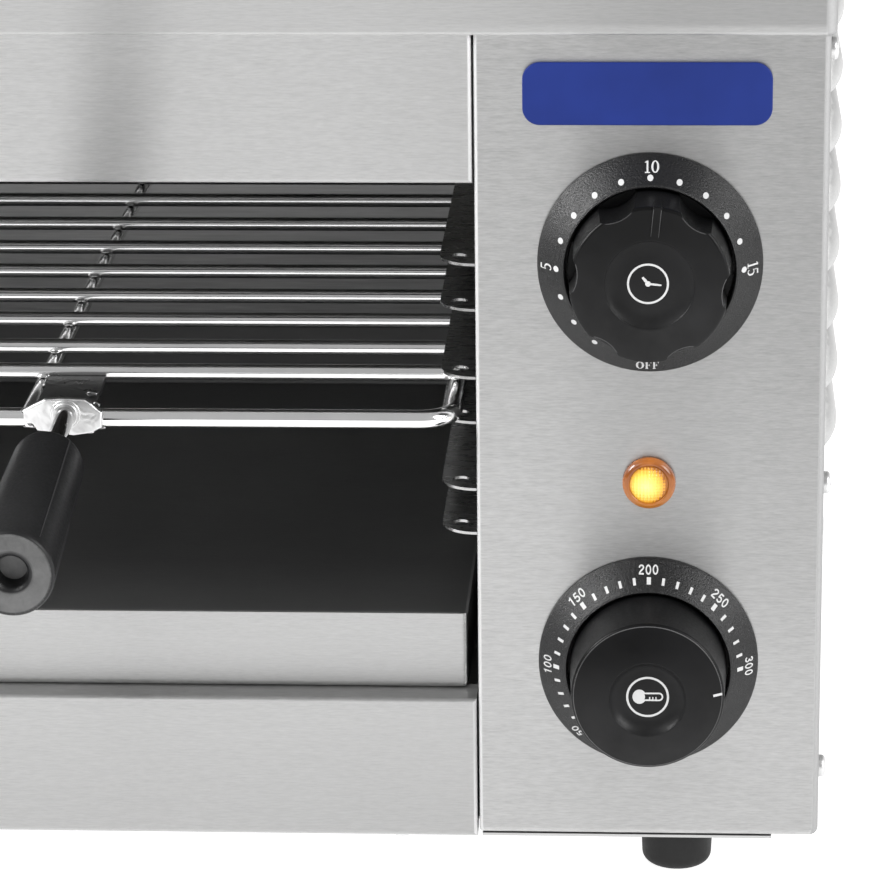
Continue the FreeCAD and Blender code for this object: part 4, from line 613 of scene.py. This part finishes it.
def sans(ch):
    w = 0.070
    if ch == "0":
        return 0.62, [(ell(0.29, 0.5, 0.205, 0.425), w, True)]
    if ch == "1":
        return 0.60, [([(0.34, 0.0), (0.34, 0.99)], w, False), ([(0.35, 0.90), (0.24, 0.80), (0.11, 0.75)], 0.06, False)]
    if ch == "2":
        return 0.62, [([(0.10, 0.68), (0.13, 0.82), (0.23, 0.905), (0.35, 0.915), (0.46, 0.85), (0.50, 0.73), (0.45, 0.59),
                        (0.33, 0.45), (0.19, 0.29), (0.10, 0.09)], w, False), ([(0.06, 0.08), (0.53, 0.08)], w, False)]
    if ch == "3":
        return 0.62, [([(0.10, 0.75), (0.17, 0.87), (0.29, 0.92), (0.42, 0.87), (0.47, 0.745), (0.41, 0.60), (0.26, 0.54)], w, False),
                      ([(0.26, 0.54), (0.43, 0.47), (0.51, 0.32), (0.46, 0.16), (0.32, 0.08), (0.17, 0.11), (0.08, 0.24)], w, False)]
    if ch == "5":
        return 0.62, [([(0.14, 0.91), (0.49, 0.91)], w, False), ([(0.17, 0.93), (0.11, 0.47)], w * 0.9, False),
                      ([(0.11, 0.49), (0.22, 0.575), (0.35, 0.575), (0.47, 0.48), (0.51, 0.32), (0.46, 0.17), (0.32, 0.08),
                        (0.17, 0.10), (0.08, 0.23)], w, False)]
    return 0.4, []


def write(bm, text, face, u0, v0, deg, height, width, place, gap=0.05):
    """text centred on (u0, v0), turned clockwise by deg, width is its whole run"""
    glyphs = [face(c) for c in text]
    total = sum(g[0] for g in glyphs) + gap * (len(text) - 1)
    k = width / total
    a = math.radians(deg)
    right, up = (math.cos(a), -math.sin(a)), (math.sin(a), math.cos(a))
    x = -total / 2.0
    for adv, strokes in glyphs:
        for pts, w, closed in strokes:
            q = []
            for px, py in pts:
                gx, gy = (x + px) * k, (py - 0.5) * height
                q.append((u0 + gx * right[0] + gy * up[0], v0 + gx * right[1] + gy * up[1]))
            s = (k + height) / 2.0
            ww = [i * s for i in w] if isinstance(w, (list, tuple)) else w * s
            ribbon(bm, q, ww, place, 0.35, closed)
        x += adv + gap


def cone_place(zc, ri, h, ro=32.15, x0=None):
    x0 = DIAL_X if x0 is None else x0

    def place(u, v, lift):
        r = math.hypot(u, v)
        k = (ro - 0.3 - r) / (ro - 0.3 - ri - 0.95)
        k = max(0.0, min(1.0, k))
        return mm(x0 + u, -(1.3 + (h - 1.6) * k + lift), zc + v)
    return place


def flat_place(x0, zc, h):
    def place(u, v, lift):
        return mm(x0 + u, -(h + lift), zc + v)
    return place


# timer dial: a dot a minute, figures every five
bm = bmesh.new()
pl = cone_place(TIMER_Z, 24.05, 9.6)
for m in range(2, 16):
    a = math.radians((m - 10) * 18.0)
    disc(bm, 26.62 * math.sin(a), 26.62 * math.cos(a), 0.86, pl, flat=0.86)
write(bm, "10", serif, 0.35, 29.15, 0.0, 2.85, 4.35, pl)
write(bm, "5", serif, -29.55, -0.15, -90.0, 3.2, 2.15, pl)
write(bm, "15", serif, 29.15, -0.45, 90.0, 3.1, 4.1, pl)
write(bm, "OFF", serif, -0.6, -29.25, 0.0, 3.3, 6.6, pl)
piece("timer_figures", bm, [M["white"]], "cabinet")

# thermostat dial: a tick each ten degrees, figures every fifty
bm = bmesh.new()
pl = cone_place(THERMO_Z, 23.6, 8.4)
for i in range(-14, 11):
    a = math.radians(i * 9.03 + 0.2)
    major = i % 5 == 0
    r0, r1 = (26.0, 27.7)
    ribbon(bm, [(r0 * math.sin(a), r0 * math.cos(a)), (r1 * math.sin(a), r1 * math.cos(a))], 0.60 if major else 0.41, pl)
for i, label in ((-15, "50"), (-10, "100"), (-5, "150"), (0, "200"), (5, "250"), (10, "300")):
    a = i * 9.03
    r = 29.45
    write(bm, label, sans, r * math.sin(math.radians(a)), r * math.cos(math.radians(a)), a + (0.6 if i == 5 else 0.0), 2.35, 6.0 if len(label) == 3 else 4.0, pl)
piece("thermostat_figures", bm, [M["white"]], "cabinet")

# marks on the knobs
bm = bmesh.new()
pl = flat_place(DIAL_X - 0.45, TIMER_Z + 0.05, 24.8 - 1.7)
ribbon(bm, ell(0, 0, 5.58, 5.58, 64), 0.29, pl, 0.6, True)
disc(bm, 0, 0, 0.80, pl, 20, hi=0.09)
ribbon(bm, [(0, 0), (-0.75, 0.92), (-1.55, 1.9)], [0.30, 0.42, 0.30], pl, hi=0.07)
ribbon(bm, [(0, 0), (1.9, -0.2), (3.75, -0.42)], [0.26, 0.30, 0.22], pl, hi=0.06)
piece("timer_mark", bm, [M["white"]], "timer")

bm = bmesh.new()
pl = flat_place(DIAL_X, THERMO_Z, 29.6 + 2.7 - 2.5)
ribbon(bm, ell(0, 0, 5.85, 5.85, 64), 0.31, pl, 0.6, True)
# a small thermometer lying on its side
body = ell(-2.35, 0.05, 1.75, 1.95, 30, 122.0, 418.0)
tube_out = body + [(3.2, 1.12)] + ell(3.2, 0.05, 1.05, 1.07, 14, 0.0, 180.0)[1:]
ribbon(bm, tube_out, 0.23, pl, 0.4, True)
disc(bm, -2.45, 0.05, 1.72, pl, 28, hi=0.07)
for u in (0.6, 1.5, 2.4):
    ribbon(bm, [(u, -0.85), (u, 0.0)], 0.17, pl, hi=0.06)
piece("thermostat_mark", bm, [M["white"]], "thermostat")
bm = bmesh.new()


def arc_height(r, a, b, c):
    """height at r on the circle through three (radius, height) points"""
    (x1, y1), (x2, y2), (x3, y3) = a, b, c
    k = 2.0 * (x1 * (y2 - y3) + x2 * (y3 - y1) + x3 * (y1 - y2))
    q1, q2, q3 = x1 * x1 + y1 * y1, x2 * x2 + y2 * y2, x3 * x3 + y3 * y3
    ux = (q1 * (y2 - y3) + q2 * (y3 - y1) + q3 * (y1 - y2)) / k
    uy = (q1 * (x3 - x2) + q2 * (x1 - x3) + q3 * (x2 - x1)) / k
    rr = math.hypot(x1 - ux, y1 - uy)
    return uy + math.sqrt(max(0.0, rr * rr - (r - ux) ** 2))


def crown_place(u, v, lift):
    r = min(math.hypot(u, v), 21.05)
    h = arc_height(r, (21.05, 29.6), (16.2, 29.6 + 2.7 * 0.6), (11.35, 32.3))
    return mm(DIAL_X + u, -(h + lift), THERMO_Z + v)


ribbon(bm, [(18.8, 0.75), (21.35, 1.05)], 0.36, crown_place, 0.5, False, -0.15, 0.06)
piece("thermostat_pointer", bm, [M["white"]], "thermostat")

# painted highlights: lighter strips along the rim of the lower knob, the scallops and the ridge of the upper one
bm = bmesh.new()
ribbon(bm, ell(0, 0, 21.30, 21.30, 180), 0.13, flat_place(DIAL_X, THERMO_Z, 29.58), 0.8, True, -0.2, 0.06)
piece("thermostat_knob_painted_highlight", bm, [M["edge"]], "thermostat")
bm = bmesh.new()
pl = flat_place(DIAL_X, TIMER_Z, 24.8)
for i in range(6):
    a = math.radians(5.5 + 30 + 60 * i)
    cx_, cz_ = 30.3 * math.sin(a), 30.3 * math.cos(a)
    pts = []
    for j in range(-40, 41):
        b = a + math.pi + math.radians(j * 1.5)
        q = (cx_ + 9.98 * math.sin(b), cz_ + 9.98 * math.cos(b))
        if math.hypot(*q) < 21.7:
            pts.append(q)
    if len(pts) > 4:
        ribbon(bm, pts, [0.03] + [0.10] * (len(pts) - 2) + [0.03], pl, 0.8, False, -0.15, 0.05)
a = math.radians(5.5)
pl = flat_place(DIAL_X, TIMER_Z, 25.25)
for sx in (-1.08, 1.08):
    run = [(sx * math.cos(a) + v * math.sin(a), -sx * math.sin(a) + v * math.cos(a)) for v in (14.2, 18.0, 22.0)]
    ribbon(bm, run, [0.05, 0.09, 0.11], pl, 0.8, False, -0.15, 0.03)
piece("timer_knob_painted_highlights", bm, [M["edge"]], "timer")

# pilot lamp: shouldered rim and a ribbed lens
bm = bmesh.new()
NA, R_L = 180, 5.55
rim = [(5.35, 0.2), (7.7, 0.2), (7.72, 0.9), (7.62, 1.5), (7.35, 2.05), (6.95, 2.5), (6.45, 2.8), (5.95, 2.86), (5.70, 2.70), (5.55, 2.35), (5.35, 2.2)]
rings = []
for a in range(NA):
    c, s_ = math.cos(2 * math.pi * a / NA), math.sin(2 * math.pi * a / NA)
    rings.append([bm.verts.new(mm(DIAL_X + r * c, -h, LAMP_Z + r * s_)) for r, h in rim])
for a in range(NA):
    p, q = rings[a], rings[(a + 1) % NA]
    for i in range(len(rim)):
        j = (i + 1) % len(rim)
        f = bm.faces.new((p[i], q[i], q[j], p[j]))
        f.material_index = 0
NR = 44


def lens_h(u, v):
    r = math.hypot(u, v)
    h = 2.35 + 1.25 * (1.0 - (r / R_L) ** 2)
    k = max(0.0, min(1.0, (R_L - r) / 0.5))
    return h + k * (0.085 * math.cos(2 * math.pi * u / 0.95) + 0.035 * math.cos(2 * math.pi * v / 0.95))


prev = None
centre = bm.verts.new(mm(DIAL_X, -lens_h(0, 0), LAMP_Z))
base_c = bm.verts.new(mm(DIAL_X, -0.4, LAMP_Z))
for i in range(1, NR + 1):
    r = R_L * i / NR
    ring = [bm.verts.new(mm(DIAL_X + r * math.cos(2 * math.pi * a / NA), -lens_h(r * math.cos(2 * math.pi * a / NA), r * math.sin(2 * math.pi * a / NA)),
                            LAMP_Z + r * math.sin(2 * math.pi * a / NA))) for a in range(NA)]
    for a in range(NA):
        b = (a + 1) % NA
        f = bm.faces.new((centre, ring[a], ring[b])) if prev is None else bm.faces.new((prev[a], ring[a], ring[b], prev[b]))
        f.material_index = 1
    prev = ring
low = [bm.verts.new(mm(DIAL_X + R_L * math.cos(2 * math.pi * a / NA), -0.4, LAMP_Z + R_L * math.sin(2 * math.pi * a / NA))) for a in range(NA)]
for a in range(NA):
    b = (a + 1) % NA
    f = bm.faces.new((prev[a], low[a], low[b], prev[b]))
    f.material_index = 1
    f = bm.faces.new((low[a], base_c, low[b]))
    f.material_index = 1
lamp = piece("pilot_lens_ribbed", bm, [M["lamp_rim"], M["lamp_lens"]], "cabinet", True)
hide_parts("pilot_lamp_lens")

# parting line along the top of each grip, on the moulded surface
DROP = math.radians(6.2)
G_AX = Vector((0, -math.cos(DROP), -math.sin(DROP)))
G_UP = Vector((0, -math.sin(DROP), math.cos(DROP)))
G_RT = Vector((1, 0, 0))
for tag, hx in (("right", 82.9), ("left", -162.9)):
    root = mm(hx, -7.45, 152.0)

    def on_grip(u, v, lift, root=root):
        # u is along the grip, v is across it at the line
        r0, r1 = 10.2, 11.8
        if u < 4.2:
            r = r0 - 3.6 + 3.6 * math.sqrt(max(0.0, 1.0 - ((4.2 - u) / 4.2) ** 2))
        else:
            r = r0 + (r1 - r0) * ((u - 4.2) / 67.4) ** 0.8
        a = math.radians(42.0) + v / r
        r += lift
        return root + (G_AX * (33.95 + u) + G_RT * (r * math.sin(a)) + G_UP * (1.06 * r * math.cos(a))) / 1000.0

    bm = bmesh.new()
    ribbon(bm, [(1.2, 0), (3, 0), (8, 0), (30, 0), (58, 0), (69.0, 0)], [0.10, 0.16, 0.17, 0.15, 0.11, 0.08], on_grip, 1.0, False, -0.25, 0.12)
    piece("grip_parting_line_" + tag, bm, [M["parting"]], "rack")

# weld beads where the lugs meet the rack wire
bm = bmesh.new()


def bead(x, d, z, r, squash, seed):
    """uneven blob of weld metal"""
    m = bmesh.ops.create_icosphere(bm, subdivisions=3, radius=r / 1000.0)
    c = mm(x, d, z)
    for v in m["verts"]:
        p = v.co * 1000.0
        k = 1.0 + 0.14 * math.sin(3.1 * p.x + seed) * math.cos(2.7 * p.z + seed * 1.7) + 0.08 * math.sin(6.3 * p.y + seed * 0.6)
        v.co = c + Vector((p.x * k * squash[0], p.y * k * squash[1], p.z * k * squash[2])) / 1000.0


for hx, sg in ((82.4, 1.0), (-162.4, -1.0)):  # the lugs keep this centre
    bead(hx + sg * 6.9, 3.6, 155.0, 1.25, (1.5, 0.8, 0.7), 0.3)
    bead(hx + sg * 8.9, -2.6, 153.6, 1.25, (1.0, 0.9, 0.9), 1.9)
    bead(hx + sg * 6.6, -5.4, 146.2, 1.0, (1.7, 0.7, 0.6), 2.6)
    bead(hx + sg * 10.2, -5.0, 147.3, 0.9, (1.6, 0.7, 0.6), 4.4)
    bead(hx - sg * 10.6, -4.9, 152.4, 1.3, (1.7, 0.9, 0.7), 3.2)
    bead(hx - sg * 10.4, -4.9, 147.8, 1.1, (1.8, 0.9, 0.7), 5.1)
    bead(hx - sg * 8.8, 22.5, 153.0, 1.2, (0.9, 1.6, 0.7), 0.9)
piece("lug_welds", bm, [M["lug"]], "rack", True)

# ------------------------------------------------------------------ stage
me = bpy.data.meshes.new("floor")
bm = bmesh.new()
bmesh.ops.create_grid(bm, x_segments=8, y_segments=8, size=6.0)
bm.to_mesh(me)
bm.free()
floor = bpy.data.objects.new("floor", me)
bpy.context.scene.collection.objects.link(floor)
fm = material("floor_pale")
t = Tree(fm)
d = t.add("ShaderNodeBsdfDiffuse")
d.inputs["Color"].default_value = grey(0.5)
e = t.add("ShaderNodeEmission")
e.inputs["Color"].default_value = grey(1.0)
e.inputs["Strength"].default_value = 0.92
a = t.add("ShaderNodeAddShader")
o = t.add("ShaderNodeOutputMaterial")
t.link(d.outputs[0], a.inputs[0])
t.link(e.outputs[0], a.inputs[1])
t.link(a.outputs[0], o.inputs["Surface"])
me.materials.append(fm)

world = bpy.data.worlds.new("studio")
bpy.context.scene.world = world
world.use_nodes = True
wn = world.node_tree.nodes
bg = wn.get("Background") or wn.new("ShaderNodeBackground")
bg.inputs[0].default_value = grey(1.0)
bg.inputs[1].default_value = 0.46


def area(name, loc, look_at, size, power, size_y=None):
    ld = bpy.data.lights.new(name, "AREA")
    ld.energy = power
    ld.size = size
    if size_y:
        ld.shape = "RECTANGLE"
        ld.size_y = size_y
    ob = bpy.data.objects.new(name, ld)
    bpy.context.scene.collection.objects.link(ob)
    ob.location = loc
    d = Vector(look_at) - Vector(loc)
    ob.rotation_euler = d.to_track_quat("-Z", "Y").to_euler()
    return ob


area("key_left", (-1.1, -1.5, 1.6), (0.1, -0.1, 0.12), 0.9, 9)
area("side_left", (-0.98, -0.34, 0.92), (0.25, -0.12, 0.14), 0.5, 21)
area("fill_right", (1.6, -0.9, 0.9), (0.2, -0.1, 0.12), 0.9, 24)
area("card_right", (1.25, 0.62, 0.30), (0.30, 0.0, 0.17), 1.4, 2.8, 1.0)
area("card_left", (-1.25, 0.62, 0.30), (-0.30, 0.0, 0.17), 1.4, 0.5, 1.0)

# ------------------------------------------------------------------ camera
F_PX, YAW, PITCH, ROLL = 4096.0, math.radians(-3.41), math.radians(17.49), math.radians(0.68)
cam_pos = mm(256.52, -1129.05, 500.48)
sy, cy, sp, cp = math.sin(YAW), math.cos(YAW), math.sin(PITCH), math.cos(PITCH)
fwd = Vector((sy * cp, cy * cp, -sp))
right = Vector((cy, -sy, 0.0))
down = fwd.cross(right)
cr, sr = math.cos(ROLL), math.sin(ROLL)
r2 = cr * right + sr * down
d2 = -sr * right + cr * down
camd = bpy.data.cameras.new("camera")
camd.sensor_width = 36.0
camd.lens = 36.0 * F_PX / 870.0
camd.clip_start = 0.01
camd.clip_end = 50.0
cam = bpy.data.objects.new("camera", camd)
bpy.context.scene.collection.objects.link(cam)
rotm = Matrix((r2, -d2, -fwd)).transposed()
cam.matrix_world = Matrix.Translation(cam_pos) @ rotm.to_4x4()
bpy.context.scene.camera = cam

bpy.context.scene.view_settings.view_transform = "Standard"
